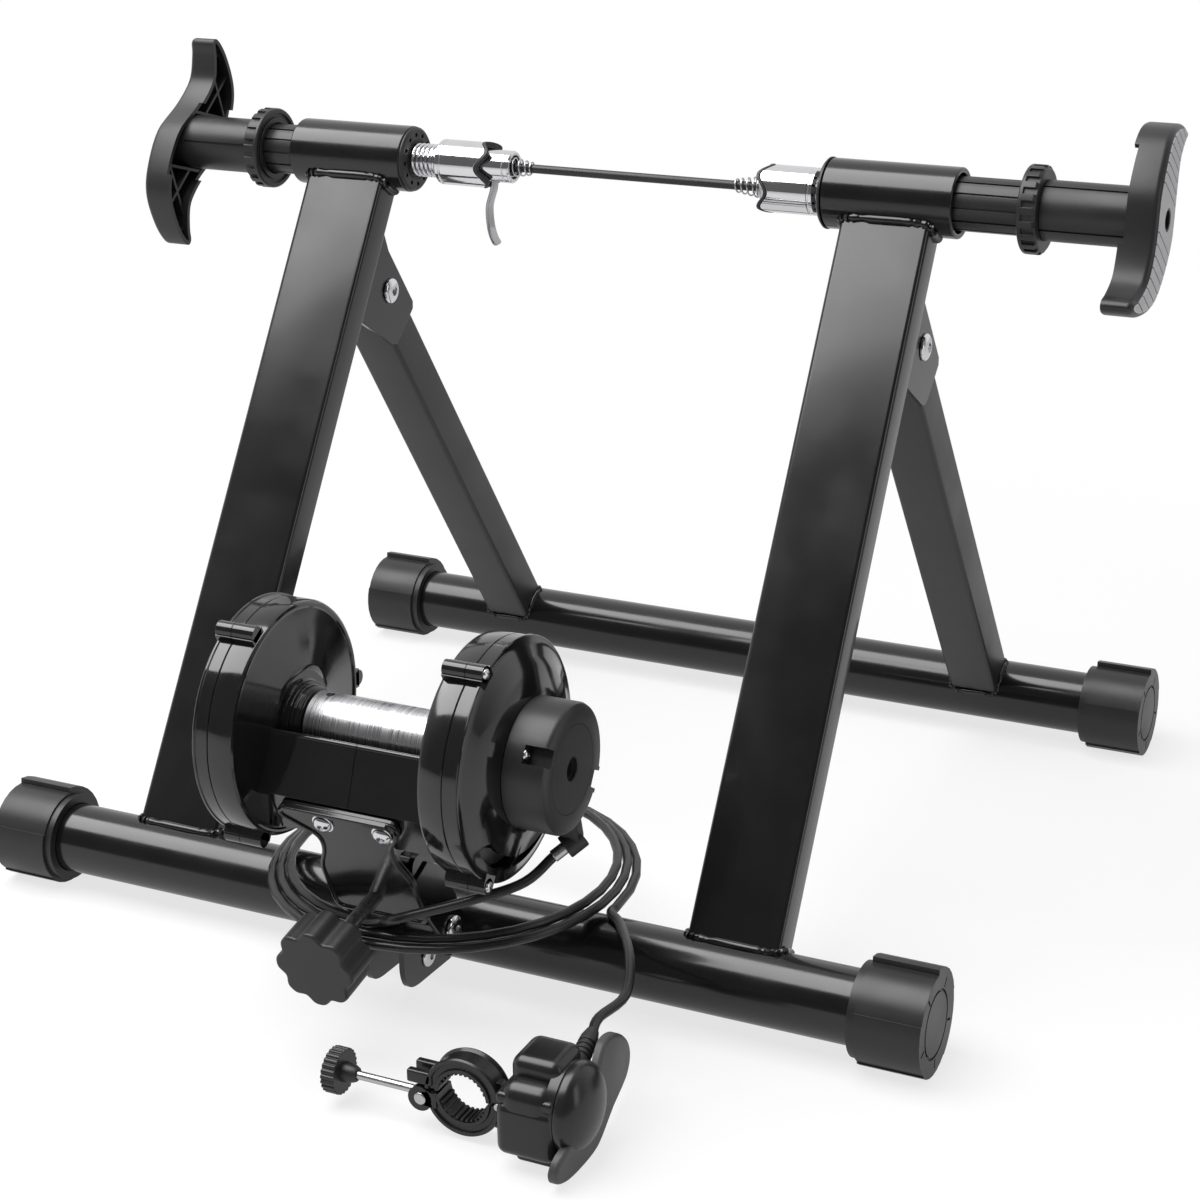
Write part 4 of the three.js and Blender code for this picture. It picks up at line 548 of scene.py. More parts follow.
# %% [markdown]
# The camera stands where the photographer stood: well to the right of the stand, a little above it,
# with a long lens. It was worked out from the photograph in pixels, so its focal length and the shift
# of the picture are written in pixels here and turned into Blender's own measures.

# %% Camera
AZIMUTH = math.radians(25.47)
ELEVATION = math.radians(17.98)
ROLL = math.radians(-0.73)
EYE = (604.68, -1050.99, 634.81)
PHOTO_SIZE = 1200
FOCAL_LENGTH = 2557.31
PHOTO_SHIFT = (-14.24, -124.1)
SENSOR = 36
camera_data = bpy.data.cameras.new("camera")
camera = bpy.data.objects.new("camera", camera_data)
scene.collection.objects.link(camera)
turn = (Matrix.Rotation(AZIMUTH, 4, "Z") @ Matrix.Rotation(math.pi / 2 - ELEVATION, 4, "X")
        @ Matrix.Rotation(ROLL, 4, "Z"))
camera.matrix_world = Matrix.Translation(stand @ Vector(EYE)) @ turn
camera_data.sensor_width = SENSOR
camera_data.lens = SENSOR * (FOCAL_LENGTH / PHOTO_SIZE)
camera_data.shift_x = PHOTO_SHIFT[0] / PHOTO_SIZE
camera_data.shift_y = PHOTO_SHIFT[1] / PHOTO_SIZE
scene.camera = camera
scene.view_settings.view_transform = "Standard"
print("lens", round(camera_data.lens, 1), "mm")

# %% [markdown]
# The cable is one free cord. It leaves the stop on the brake cap, lies in a coil of almost three
# turns on the front tube, and ends in the boot of the shifter. Its two ends are fixed here first,
# because the brake cap and the shifter are placed by them further on.

# %% Ends of the cable
CAP_TOP = 103.5
STOP_RADIUS = 46
STOP_ANGLE = math.radians(-53.6)
STOP_DROP = 6.4
stop_centre = Vector((CAP_TOP - STOP_DROP, *around(STOP_RADIUS, STOP_ANGLE)))
stop_way = Matrix.Rotation(-unit_lean, 4, "X") @ Vector((-0.6, -0.6, -0.53)).normalized()
stop_turn = Vector((1, 0, 0)).rotation_difference(stop_way).to_matrix().to_4x4()
stop_place = unit_line @ Matrix.Translation(stop_centre) @ stop_turn
shifter_place = Matrix.Translation((131, -140, 2.5))
stop_world = stop_place.translation
way_world = stop_place.to_3x3() @ Vector((1, 0, 0))
BOOT_LENGTH = 26
boot_way = Vector((-0.12, 0.97, 0.21)).normalized()
boot_root = shifter_place.translation + Vector((8.7, 15.3, 9.0))
boot_tip = boot_root + boot_way * BOOT_LENGTH
print("cable from", stop_world, "to", boot_tip)

# %% [markdown]
# The coil is a spiral that widens and sinks a little with each turn, as a cable does when it is laid
# down by hand. The lead before it and the tail after it are smooth lines through a few points.

# %% Cable
CABLE_RADIUS = 2.5
COIL_TURNS = 2.74
COIL_START = math.radians(-95)
COIL_RADIUS = 84
COIL_GROWTH = 5
COIL_SINK = 2.9
COIL_STEPS = 100
LEAD_STEPS = 36
TAIL_STEPS = 30


def coil_point(t):
    turns = t * COIL_TURNS
    a = COIL_START - turns * TURN
    radius = COIL_RADIUS + COIL_GROWTH * turns
    return Vector((radius * math.cos(a), 14 + radius * math.sin(a), 30 - COIL_SINK * turns))


def vector_line(points, count):
    return [Vector(p) for p in smooth_line([tuple(p) for p in points], count)]


coil = [coil_point(i / COIL_STEPS) for i in range(COIL_STEPS + 1)]
coil_way_in = (coil[1] - coil[0]).normalized()
coil_way_out = (coil[-1] - coil[-2]).normalized()
lead = vector_line([stop_world + way_world * 2.4, stop_world + way_world * 12, Vector((80, -57, 63)),
                    Vector((60, -70, 56)), Vector((24, -80, 43)), Vector((8, -73, 34)),
                    coil[0] - coil_way_in * 5], LEAD_STEPS)
tail = vector_line([coil[-1] + coil_way_out * 4, coil[-1] + coil_way_out * 10, Vector((108, -8, 22.5)),
                    Vector((128, -40, 25)), Vector((139, -68, 20.6)), boot_tip + boot_way * 10,
                    boot_tip + boot_way * 0.3], TAIL_STEPS)
route = lead + coil + tail
cable = wire(route, CABLE_RADIUS, "cable", vinyl, None,
             ["cable_lead", "cable_coil", "cable_tail"], sides=4)
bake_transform(cable)

# %% [markdown]
# A short metal ferrule closes the end of the cable where it enters its stop. It turns with the unit.

# %% Ferrule
ferrule = spun([(0, 2.6), (0, 3.2), (12, 3.2), (12.4, 2.9), (12.4, 2.6)], 40, closed=True)
finish(ferrule, "cable_ferrule", zinc, "resistance_unit", (), stop_place, edge=0.15)
print("ferrule 12.4 mm long")

# %% [markdown]
# The two cross tubes are plain round steel tubes. Their ends hide in the foot caps.

# %% Cross tubes
TUBE_RADIUS = 19.05
TUBE_WALL = 1.8
TUBE_HALF = 268.1

for node, body, place in (("front_tube", "front_frame", here), ("rear_tube", "rear_frame", rear_line)):
    finish(pipe(TUBE_RADIUS, TUBE_RADIUS - TUBE_WALL, -TUBE_HALF, TUBE_HALF, 128), node + "_round", paint,
           body, [node], place, edge=0.4)
print("cross tubes", 2 * TUBE_HALF, "mm long")

# %% [markdown]
# A leg is a rectangular tube with soft corners. A cube whose four long edges are bevelled gives it,
# and the bevel is made with bmesh here so that the hinge bracket can be added to the same mesh. The
# leg stops inside the wall of the tube that it is welded to.

# %% Legs
LEG_CENTRE = 165.5
LEG_CORNER = 2.8
LEG_SINK = 16.2
FRONT_LEG = (50, 20)
REAR_LEG = (30, 26)
REAR_OVERHANG = 15
SIGNS = (("left", -1), ("right", 1))
CLAMP = Vector((0, clamp_line.translation.y, clamp_line.translation.z))
FOLD = Vector((0, 222, 273.8))
FOLD_ALONG = FOLD.dot(CLAMP.normalized())
REAR = Vector((0, rear_line.translation.y, 0))


def along_leg(x, start, end):
    up = (end - start).normalized()
    side = Vector((1, 0, 0))
    back = side.cross(up) * -1
    turn = Matrix((side, back, up)).transposed().to_4x4()
    return Matrix.Translation(start + side * x) @ turn, (end - start).length


def bar(width, depth, start, end):
    bm = block((width, depth, end - start), (0, 0, (start + end) / 2))
    long_edges = [e for e in bm.edges if abs(e.verts[0].co.z - e.verts[1].co.z) > width]
    bmesh.ops.bevel(bm, geom=long_edges, offset=LEG_CORNER, segments=5, profile=0.5, affect="EDGES",
                    material=-1)
    return bm


# %% [markdown]
# The weld is a bead that follows the line where the leg meets the tube. The line is the outline of
# the leg, lifted to the curve of the tube, and the bead swells and narrows along it as a welder's
# hand does.

# %% Weld beads
WELD_GAP = 0.4
WELD_CORNER = 0.28
WELD_STEPS = 150
WANDER = 0.3
SWELLING = 0.16


def weld(name, body, place, width, depth, length, bead, top=False):
    points, radii = [], []
    for i in range(WELD_STEPS):
        a = TURN * i / WELD_STEPS
        x = squarish(math.cos(a), WELD_CORNER) * (width / 2 + WELD_GAP)
        n = squarish(math.sin(a), WELD_CORNER) * (depth / 2 + WELD_GAP)
        rise = math.sqrt(max(TUBE_RADIUS ** 2 - n ** 2, 0)) + WELD_GAP
        along = length - rise if top else rise
        points.append((x + WANDER * math.sin(i * 1.7), n + WANDER * math.cos(i * 2.3), along))
        radii.append(1 + SWELLING * math.sin(i * 2.2) + SWELLING * math.sin(i * 0.9))
    return wire(points, bead, name, paint, body, place=place, radii=radii, cyclic=True)


# %% [markdown]
# The fold bracket is bent sheet: two cheeks that flank the rear leg, and a web that lies against the
# back of the front leg. The bracket is gathered into the mesh of the front leg, to which it is welded.

# %% Fold brackets and both pairs of legs
BRACKET_INNER = 15.5
BRACKET_WALL = 3
BRACKET_CHEEK = [(-27.5, 10), (-27.6, 59.7), (-25, 64.4), (-19.2, 66.5), (-4, 71), (0, 72.2), (4, 70),
                 (20.8, 28.3), (34.3, 10)]
BRACKET_WEB = [(-27.5, 9.4), (-27.5, 13), (31, 13), (34, 9.4)]


def beside_fold(outline):
    return [(behind, FOLD_ALONG + along) for along, behind in outline]


def bracket():
    outside = BRACKET_INNER + BRACKET_WALL
    outline = beside_fold(BRACKET_CHEEK)
    cheeks = [slab(outline, x, x + BRACKET_WALL) for x in (-outside, BRACKET_INNER)]
    return cheeks + [slab(beside_fold(BRACKET_WEB), -outside, outside)]


for side, sign in SIGNS:
    place, length = along_leg(sign * LEG_CENTRE, Vector(), CLAMP)
    shell = bar(*FRONT_LEG, LEG_SINK, length - LEG_SINK)
    finish(gathered(shell, *bracket()), f"front_leg_{side}_box", paint, "front_frame",
           [f"front_leg_{side}"], place, edge=0.7, segments=3)
    weld(f"weld_foot_{side}", "front_frame", place, *FRONT_LEG, length, 2.0)
    weld(f"weld_top_{side}", "front_frame", place, *FRONT_LEG, length, 2.3, top=True)

    place, length = along_leg(sign * LEG_CENTRE, FOLD, REAR)
    shell = bar(*REAR_LEG, -REAR_OVERHANG, length - LEG_SINK)
    finish(shell, f"rear_leg_{side}_box", dark_paint, "rear_frame", [f"rear_leg_{side}"],
           place, edge=0.5)
    weld(f"weld_rear_{side}", "rear_frame", place, *REAR_LEG, length, 1.5, top=True)
print("legs done")

# %% [markdown]
# Bolts. A chromed bolt crosses each fold bracket. Its head is a low dome with a hexagonal socket, and
# a nut on a washer closes the far end. The same bolt, a size smaller, is used under the unit.

# %% Bolts
def cross_bolt(name, node, body, reach, head, place):
    low = head * 0.32
    dome = [(reach, 0), (reach, head), (reach + low * 0.3, head)] + domed(reach + low * 0.3, head, low)
    cap = cut(spun(dome, 48), slab(hexagon(head * 0.4), reach + low * 0.55, reach + 2 * low))
    nut = slab(hexagon(head * 0.93), -reach - 2 * low, -reach - low * 0.3)
    washer = pipe(head * 1.05, head * 0.3, -reach - low * 0.3, -reach, 48)
    shank = rod(head * 0.5, -reach - 2.4 * low, reach, 24)
    finish(gathered(cap, nut, washer, shank), name, chrome, body, [node], place, edge=0.35)


for side, sign in SIGNS:
    place = Matrix.Translation(FOLD + Vector((sign * LEG_CENTRE, 0, 0)))
    cross_bolt(f"fold_bolt_{side}_set", f"fold_bolt_{side}", "front_frame", 18.9, 7.5, place)

# %% [markdown]
# Foot caps. The cap is an eccentric: five sectors, each a little larger than the last, so turning it
# levels the stand. Each sector is a fan of small flats, and a step separates it from the next. The
# face has a turned ring and five short marks, one for each sector.

# %% Foot caps
CAP_LOW = 25
CAP_STEP = 0.75
CAP_FACETS = 6
CAP_SECTORS = 5
CAP_END = 272.5
CAP_LENGTH = 38
CAP_BACK = CAP_END - CAP_LENGTH
CAP_BORE = TUBE_RADIUS + 0.35
LIP_LENGTH = 4
MARK_CIRCLE = 21


def cap_outline():
    facet = TURN / (CAP_SECTORS * CAP_FACETS)
    start = -math.pi / 2 - (2 * CAP_FACETS + 3.5) * facet
    points = []
    for sector in range(CAP_SECTORS):
        radius = (CAP_LOW + sector * CAP_STEP) / math.cos(facet / 2)
        points += circle(radius, CAP_FACETS + 1, start=start + sector * CAP_FACETS * facet,
                         sweep=CAP_FACETS * facet)
    return points


def foot_cap():
    body = slab(cap_outline(), CAP_BACK + LIP_LENGTH, CAP_END)
    groove = pipe(17.6, 16.2, CAP_END - 0.9, CAP_END + 1, 72)
    marks = []
    for i in range(CAP_SECTORS):
        a = 0.9 + TURN * i / CAP_SECTORS
        marks.append(block((1.6, 1.2, 5), (CAP_END, *around(MARK_CIRCLE, a)), rolled(a - math.pi / 2)))
    bore = rod(CAP_BORE, CAP_BACK - 1, CAP_END - 4, 64)
    shell = cut(body, bore, groove, *marks)
    lip = pipe(24, CAP_BORE, CAP_BACK, CAP_BACK + LIP_LENGTH + 0.5, 96)
    return gathered(shell, lip)


MIRROR = Matrix.Scale(-1, 4, (1, 0, 0))
SIDES = (("left", MIRROR), ("right", here))
for end, place in (("front", here), ("rear", rear_line)):
    for side, flip in SIDES:
        finish(foot_cap(), f"cap_{end}_{side}", satin, f"{end}_{side}_foot",
               [f"foot_cap_{end}_{side}"], place @ flip, edge=0.7, segments=3, limit=math.radians(20))
print("foot caps done")

# %% [markdown]
# Axle clamps. The sleeve is a short thick tube across the top of each leg. Its bush has a ring of
# small blind holes round the rod. Both clamps are drawn on the right, and the left one is mirrored.
# What slides in a sleeve stands a little further in or out than its neighbour, as in the photograph.

# %% Sleeves and bushes
SLEEVE_IN = 129
SLEEVE_OUT = 202
SLEEVE_WALL = 3
CLAMP_SHIFT = {"left": -11, "right": 5}


def side_place(side):
    return clamp_line @ MIRROR if side == "left" else clamp_line


def sliding_place(side):
    return side_place(side) @ Matrix.Translation((CLAMP_SHIFT[side], 0, 0))


def bush(flange):
    body = spun([(SLEEVE_IN - 2.4, 10.4), (SLEEVE_IN - 2.4, flange - 1.4), (SLEEVE_IN - 1.2, flange),
                 (SLEEVE_IN - 0.3, flange), (SLEEVE_IN - 0.3, 15.7), (SLEEVE_IN + 12, 15.7),
                 (SLEEVE_IN + 12, 10.4)], 96, closed=True)
    holes = [moved(rod(1.25, SLEEVE_IN - 4, SLEEVE_IN + 0.2, 16), Matrix.Translation((0, y, z)))
             for y, z in circle(14.2, 12)]
    ring = pipe(11.6, 11.0, SLEEVE_IN - 3, SLEEVE_IN - 1.9, 64)
    return cut(body, *holes, ring)


for side in ("left", "right"):
    place = side_place(side)
    sleeve = pipe(TUBE_RADIUS, TUBE_RADIUS - SLEEVE_WALL, SLEEVE_IN, SLEEVE_OUT, 128)
    finish(sleeve, f"sleeve_{side}", paint, "front_frame", [f"clamp_sleeve_{side}"], place,
           edge=1.0, segments=3)
    finish(bush(18.5 if side == "left" else 19.5), f"bush_{side}", satin, "front_frame",
           [f"sleeve_plug_{side}"], place, edge=0.3)

# %% [markdown]
# The spindle is a splined plastic shaft. It is drawn as one outline with twelve ribs and extruded.

# %% Spindles
SPINDLE_RADIUS = 14.5
SPINDLE_RIBS = 12
SPINDLE_OUT = 286
SPINDLE_BORE = 6.2


def spline_outline(radius, ribs, depth, groove_share):
    points = []
    for rib in range(ribs):
        base = TURN * rib / ribs
        pitch = TURN / ribs
        for share in (0, 0.25, 0.5, 0.75, 1):
            points.append(around(radius, base + pitch * (1 - groove_share) * share))
        for share in (1 - groove_share, 1):
            points.append(around(radius - depth, base + pitch * share))
    return points


for side in ("left", "right"):
    outline = spline_outline(SPINDLE_RADIUS, SPINDLE_RIBS, 1.1, 0.16)
    spline_start = 146.3 - min(CLAMP_SHIFT[side], 0)
    shaft = slab(outline, spline_start, SPINDLE_OUT)
    nose_start = 126.9 - CLAMP_SHIFT[side]
    nose = rod(10, nose_start, spline_start + 1, 64)
    shaft = cut(gathered(shaft, nose), rod(SPINDLE_BORE, nose_start - 1, SPINDLE_OUT + 1, 48))
    finish(shaft, f"splined_shaft_{side}", satin, f"{side}_spindle", [f"spindle_{side}"],
           sliding_place(side), edge=0.2)
print("sleeves and spindles done")

# %% [markdown]
# The lock ring is turned with a groove in its face, then twenty flutes are cut across its rim.

# %% Lock rings
RING_START = 233
RING_END = 243
RING_RIM = 23.5
FLUTES = 20


def lock_ring():
    rim = RING_RIM
    body = spun([(RING_START, 15), (RING_START, 18.2), (RING_START + 1.4, 18.2), (RING_START + 1.4, 20.6),
                 (RING_START, 20.6), (RING_START, rim - 0.8), (RING_START + 0.8, rim), (RING_END - 1.6, rim),
                 (RING_END, rim - 2.2), (RING_END, 15)], 120, closed=True)
    flutes = []
    for i in range(FLUTES):
        a = TURN * i / FLUTES
        at = (RING_START + 1.6 + (RING_END - RING_START) / 2, rim * math.sin(-a), rim * math.cos(a))
        flutes.append(block((RING_END - RING_START - 1.6, 3.4, 3.2), at, rolled(a)))
    return cut(body, *flutes)


for side in ("left", "right"):
    finish(lock_ring(), f"ring_{side}", satin, f"{side}_ring", [f"lock_ring_{side}"],
           sliding_place(side), edge=0.35)

# %% [markdown]
# The handle is an S-shaped plastic shell on a short tube. Half of its outline is a smooth line through
# a few points, and the other half is the same line after half a turn.

# %% Handle outline
HANDLE_START = 286.3
HANDLE_END = HANDLE_START + 20
HANDLE_WALL = 2.6
HANDLE_SWELL = 620
TUBE_START = 243.3
HALF_OUTLINE = [(24.8, 3.6), (28.5, 17.2), (29.5, 29.6), (26, 41), (16, 54.4), (7, 61.5), (2, 62.3),
                (0.5, 58.8), (3, 52.5), (5, 40.1), (2, 31.5), (-5.5, 21), (-13.5, 12.8), (-20.2, 5.6)]
handle_outline = closed_line(HALF_OUTLINE + [(-y, -z) for y, z in HALF_OUTLINE], 6)


def wing_middle(height):
    left, right = row_ends(handle_outline, height)
    return (left + right) / 2


print("handle outline", len(handle_outline), "points")

# %% [markdown]
# The shell is hollow on the side that faces the frame, and crossed braces stiffen it. They are plain
# blocks, trimmed to the space inside the shell by a Boolean that keeps what both have in common.

# %% Handle shell
HUB_HOLE = 5
BRACE_WALL = 1.7
BRACE_REACH = 64
BRACES = ((0.5, 0.62, 34), (0.5, -0.62, 34), (0.84, 1.57, 24), (0.27, 1.57, 40))


def hub_hole():
    return rod(HUB_HOLE, HANDLE_START - 2, HANDLE_END + 1, 48)


def brace(share, lean, width):
    height = share * BRACE_REACH
    return block((20, BRACE_WALL, width), (HANDLE_END - 8, wing_middle(height), height), rolled(lean))


def handle_shell():
    body = pillow(handle_outline, HANDLE_END - 0.35, 3.4, HANDLE_SWELL, base=HANDLE_START)
    inner = inset(handle_outline, HANDLE_WALL)
    hollow = pillow(inner, HANDLE_END - 4, 1.5, HANDLE_SWELL, base=HANDLE_START - 1)
    ledge = block((5, 90, 46), (HANDLE_START, 0, 0))
    half_wall = inset(handle_outline, HANDLE_WALL / 2)
    space = pillow(half_wall, HANDLE_END - 3, 1.5, HANDLE_SWELL, base=HANDLE_START + 3)
    braces = [brace(sign * share, lean, width) for share, lean, width in BRACES for sign in (1, -1)]
    web = combined(gathered(*braces), space, "INTERSECT")
    web = cut(web, rod(15.5, HANDLE_START - 2, HANDLE_END - 4.2, 64))
    return cut(gathered(cut(body, hollow, ledge), web), hub_hole())


# %% [markdown]
# The outer face swells like a pillow and carries a thin grey grip with slanting grooves. The grooves
# are only as deep as the grip allows, so their cutters are trimmed by a form that follows the swell.

# %% Grip and tube of the handle
GROOVE_START = 13
GROOVE_STEP = 6.2
GROOVE_WIDTH = 0.75
GROOVE_DEPTH = 0.6
GROOVE_LEAN = math.radians(-21)
TUBE_BORE = 14.4
TUBE_OUTSIDE = 16


def handle_grip():
    skin = pillow(inset(handle_outline, 2.3), HANDLE_END, 1.0, HANDLE_SWELL, skin=1.5)
    heights = [sign * (GROOVE_START + i * GROOVE_STEP) for i in range(10) for sign in (1, -1)]
    lines = [block((24, 90, GROOVE_WIDTH), (HANDLE_END - 8, 0, z), rolled(GROOVE_LEAN)) for z in heights]
    reach = [80 - 4 * i for i in range(21)]
    above = spun([(HANDLE_END + 2, 0), (HANDLE_END + 2, 80)]
                 + [(HANDLE_END - GROOVE_DEPTH - r * r / (2 * HANDLE_SWELL), r) for r in reach], 96)
    grooves = combined(gathered(*lines), above, "INTERSECT")
    return cut(skin, grooves, rod(6.2, HANDLE_END - 6, HANDLE_END + 1, 48))


def handle_tube():
    length = HANDLE_START - TUBE_START
    middle_x = (HANDLE_START + TUBE_START) / 2 + 1
    slots = []
    for a in (math.radians(5 + 90 * i) for i in range(4)):
        slots.append(block((length + 2, 1.6, 1.3), (middle_x, *around(TUBE_OUTSIDE, a)), rolled(a)))
    bore = rod(TUBE_BORE, TUBE_START - 1, HANDLE_START, 96)
    return cut(rod(TUBE_OUTSIDE, TUBE_START, HANDLE_END - 3.6, 96), bore, *slots, hub_hole())


# %% [markdown]
# The right handle is the left one turned round, so its S leans the other way. A scale of minus one on
# a single axis does that, and the finishing step then turns the faces outwards again.

# %% Handles
TURNED_ROUND = Matrix.Scale(-1, 4, (0, 1, 0))
stances = {"left": Matrix.Rotation(math.radians(-17), 4, "X"),
           "right": Matrix.Rotation(math.radians(-57), 4, "X") @ TURNED_ROUND}
shell, skin, tube = handle_shell(), handle_grip(), handle_tube()
for side, stance in stances.items():
    place = sliding_place(side) @ stance
    body = f"{side}_handle"
    finish(shell.copy(), f"handle_shell_{side}", satin, body, [f"handle_{side}"], place,
           edge=0)
    finish(skin.copy(), f"handle_grip_{side}", grip, body, (), place, edge=0)
    finish(tube.copy(), f"handle_tube_{side}", satin, body, (), place, edge=0)
print("handles done")

# %% [markdown]
# The cups. Each is a chromed cup with a plastic liner, and both have a rim with four waves that meet
# the ends of the skewer. The cup is spun first, then its rim is moved by the angle round the axis.

# %% Cups and liners
CUP_RADIUS = 13
CUP_WALL = 1.2
CUP_LENGTH = 29.5
CUP_WAVE = 2.6
CUP_WAVES = 4
CUP_STEPS = 128
CUP_BACK_LEFT = -110
CUP_BACK_RIGHT = 123.4
WAVE_FROM = CUP_LENGTH - 3


def waved(bm):
    for vert in bm.verts:
        if vert.co.x > WAVE_FROM:
            a = math.atan2(vert.co.z, vert.co.y)
            vert.co.x -= CUP_WAVE * math.cos(CUP_WAVES * a)
    return bm


def cup(rod_length, neck):
    inner = CUP_RADIUS - CUP_WALL
    section = [(-rod_length, 0), (-rod_length, 5.8), (-neck, 5.8)]
    if neck:
        threads = int(neck / 1.5)
        section.append((-neck, 9.2))
        for i in range(threads):
            at = -neck + neck * (i + 0.5) / threads
            section += [(at - 0.35, 9.2), (at, 9.8), (at + 0.35, 9.2)]
        section.append((0, 9.2))
    section += [(0, CUP_RADIUS - 1.6), (1.6, CUP_RADIUS), (3.4, CUP_RADIUS), (3.8, CUP_RADIUS - 0.4),
                (4.4, CUP_RADIUS - 0.4), (4.8, CUP_RADIUS), (CUP_LENGTH - 6, CUP_RADIUS),
                (CUP_LENGTH, CUP_RADIUS), (CUP_LENGTH, inner), (CUP_LENGTH - 6, inner), (4, inner), (4, 0)]
    return waved(spun(section, CUP_STEPS))


def liner(bore, floor):
    outer = CUP_RADIUS - CUP_WALL - 0.3
    rim = CUP_LENGTH + 0.3
    return waved(spun([(4.3, 0), (4.3, outer), (rim - 6, outer), (rim, outer), (rim, CUP_RADIUS + 0.3),
                       (rim + 2, CUP_RADIUS + 0.3), (rim + 2, bore), (rim - 6, bore), (4.3 + floor, bore),
                       (4.3 + floor, 0)], CUP_STEPS))


left_cup = clamp_line @ Matrix.Translation((CUP_BACK_LEFT, 0, 0))
right_cup = clamp_line @ Matrix.Translation((CUP_BACK_RIGHT, 0, 0)) @ MIRROR
finish(cup(47, 0), "cup_left_turned", chrome, "left_cup", ["cup_left"], left_cup, edge=0.25)
finish(cup(36, 3), "cup_right_turned", chrome, "right_spindle", ["cup_right"], right_cup, edge=0.25)
finish(liner(9.6, 20.6), "liner_left", matt, "left_cup", ["cup_liner_left"], left_cup, edge=0.5)
finish(liner(10.6, 5), "liner_right", matt, "right_spindle", ["cup_liner_right"], right_cup,
       edge=0.5)
print("cups", CUP_LENGTH, "mm deep")

# %% [markdown]
# Springs are curves: a helix of points with a round section, whose end turns lie flat. The one behind
# the left cup pushes it onto the skewer; on the stand it would shorten as the cup slides back, but here
# it keeps one length. The two small cones centre the skewer in the hub.

# %% Springs
FLAT_TURNS = 0.8
STEPS_PER_TURN = 28


def helix(start, end, wide_start, wide_end, turns):
    points = []
    count = int(turns * STEPS_PER_TURN)
    for i in range(count + 1):
        share = i / count
        closing = FLAT_TURNS / turns
        travel = min(max((share - closing * 0.5) / (1 - closing), 0), 1)
        radius = wide_start + (wide_end - wide_start) * share
        a = share * turns * TURN
        points.append((start + (end - start) * travel, radius * math.cos(a), radius * math.sin(a)))
    return points


cup_spring = wire(helix(-125.3, -111.4, 8.65, 8.65, 5.6), 1.1, "cup_spring_coil", chrome, "left_spindle",
                  ["cup_spring_left"], clamp_line)
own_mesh(cup_spring)
wire(helix(-66.0, -52.0, 6.0, 3.3, 4.6), 0.5, "cone_spring_left_coil", zinc, "right_spindle",
     ["cone_spring_left"], clamp_line)
wire(helix(73.9, 87.9, 3.3, 6.0, 4.6), 0.5, "cone_spring_right_coil", zinc, "right_spindle",
     ["cone_spring_right"], clamp_line)

# %% [markdown]
# The skewer: a black rod, and the housing of the cam with its bright knurled ring. The housing is
# turned, and a slot is cut into it from below for the lever.

# %% Skewer rod and cam housing
HOUSING_START = -84.2
HOUSING_END = -62.8
KNURLS = 30
CAM_PLACE = Vector((-76.7, 0, 0))


def cam_housing():
    body = spun([(HOUSING_START, 0), (HOUSING_START, 8.0), (HOUSING_START + 1.2, 9.25),
                 (HOUSING_END - 4.6, 9.25), (HOUSING_END - 4.3, 8.85), (HOUSING_END - 3.9, 8.85),
                 (HOUSING_END - 3.6, 9.25),
                 (HOUSING_END - 1.0, 9.25), (HOUSING_END, 8.2), (HOUSING_END, 6.9), (HOUSING_END - 4, 6.9),
                 (HOUSING_END - 4, 0)], 96)
    slot = block((11.4, 8.6, 16), (CAM_PLACE.x, 0, 5.7 - 8))
    return cut(body, slot)


def knurl():
    ridges = []
    for i in range(KNURLS):
        a = TURN * i / KNURLS
        ridges.append(block((3.2, 0.5, 0.6), (HOUSING_END - 2.2, *around(6.8, a)), rolled(a)))
    return gathered(*ridges)


finish(cam_housing(), "cam_housing_turned", chrome, "right_spindle", ["cam_housing"], clamp_line,
       edge=0.3)
finish(knurl(), "cam_housing_teeth", dull_zinc, "right_spindle", (), clamp_line, edge=0.1)
finish(rod(2.5, -66.5, 97.7, 48), "skewer_rod_round", dark_paint, "right_spindle",
       ["skewer_rod"], clamp_line, edge=0.3)

# %% [markdown]
# The lever is a bright bar, bent along a smooth line, that thins towards its round tip. Each ring of
# points stands square to the line, which a plain bend of a straight bar would not keep. The nut at
# the other end of the rod is turned and brushed.

# %% Lever and nut
LEVER_SIDES = 16
LEVER_LINE = [(0, 0), (-0.1, -6), (0.0, -12.9), (-3.2, -23.9), (-2.75, -35), (-0.8, -42), (1.75, -46)]


def lever():
    line = smooth_line(LEVER_LINE, 40)
    bm = bmesh.new()
    ring_before = None
    for i, (x, z) in enumerate(line):
        share = i / (len(line) - 1)
        k = min(max(i, 1), len(line) - 2)
        dx = line[k + 1][0] - line[k - 1][0]
        dz = line[k + 1][1] - line[k - 1][1]
        size = math.hypot(dx, dz)
        nx, nz = -dz / size, dx / size
        thick = 1.5 * (1 - 0.45 * share)
        round_tip = math.sqrt(max(1 - max((share - 0.93) / 0.075, 0) ** 2, 0.02))
        wide = 4.0 * (1 - 0.12 * math.cos(share * 3)) * round_tip
        ring = []
        for j in range(LEVER_SIDES):
            a = TURN * j / LEVER_SIDES
            sideways = squarish(math.cos(a), 0.55) * wide
            deep = squarish(math.sin(a), 0.7) * thick
            ring.append(bm.verts.new((x + nx * deep, sideways, z + nz * deep)))
        if ring_before:
            for j in range(LEVER_SIDES):
                n = (j + 1) % LEVER_SIDES
                bm.faces.new((ring_before[j], ring_before[n], ring[n], ring[j]))
        else:
            bm.faces.new(ring)
        ring_before = ring
    bm.faces.new(ring_before)
    bmesh.ops.recalc_face_normals(bm, faces=bm.faces)
    cam = moved(rod(5.3, -4, 4, 48), Matrix.Rotation(math.pi / 2, 4, "Z"))
    return gathered(bm, cam)


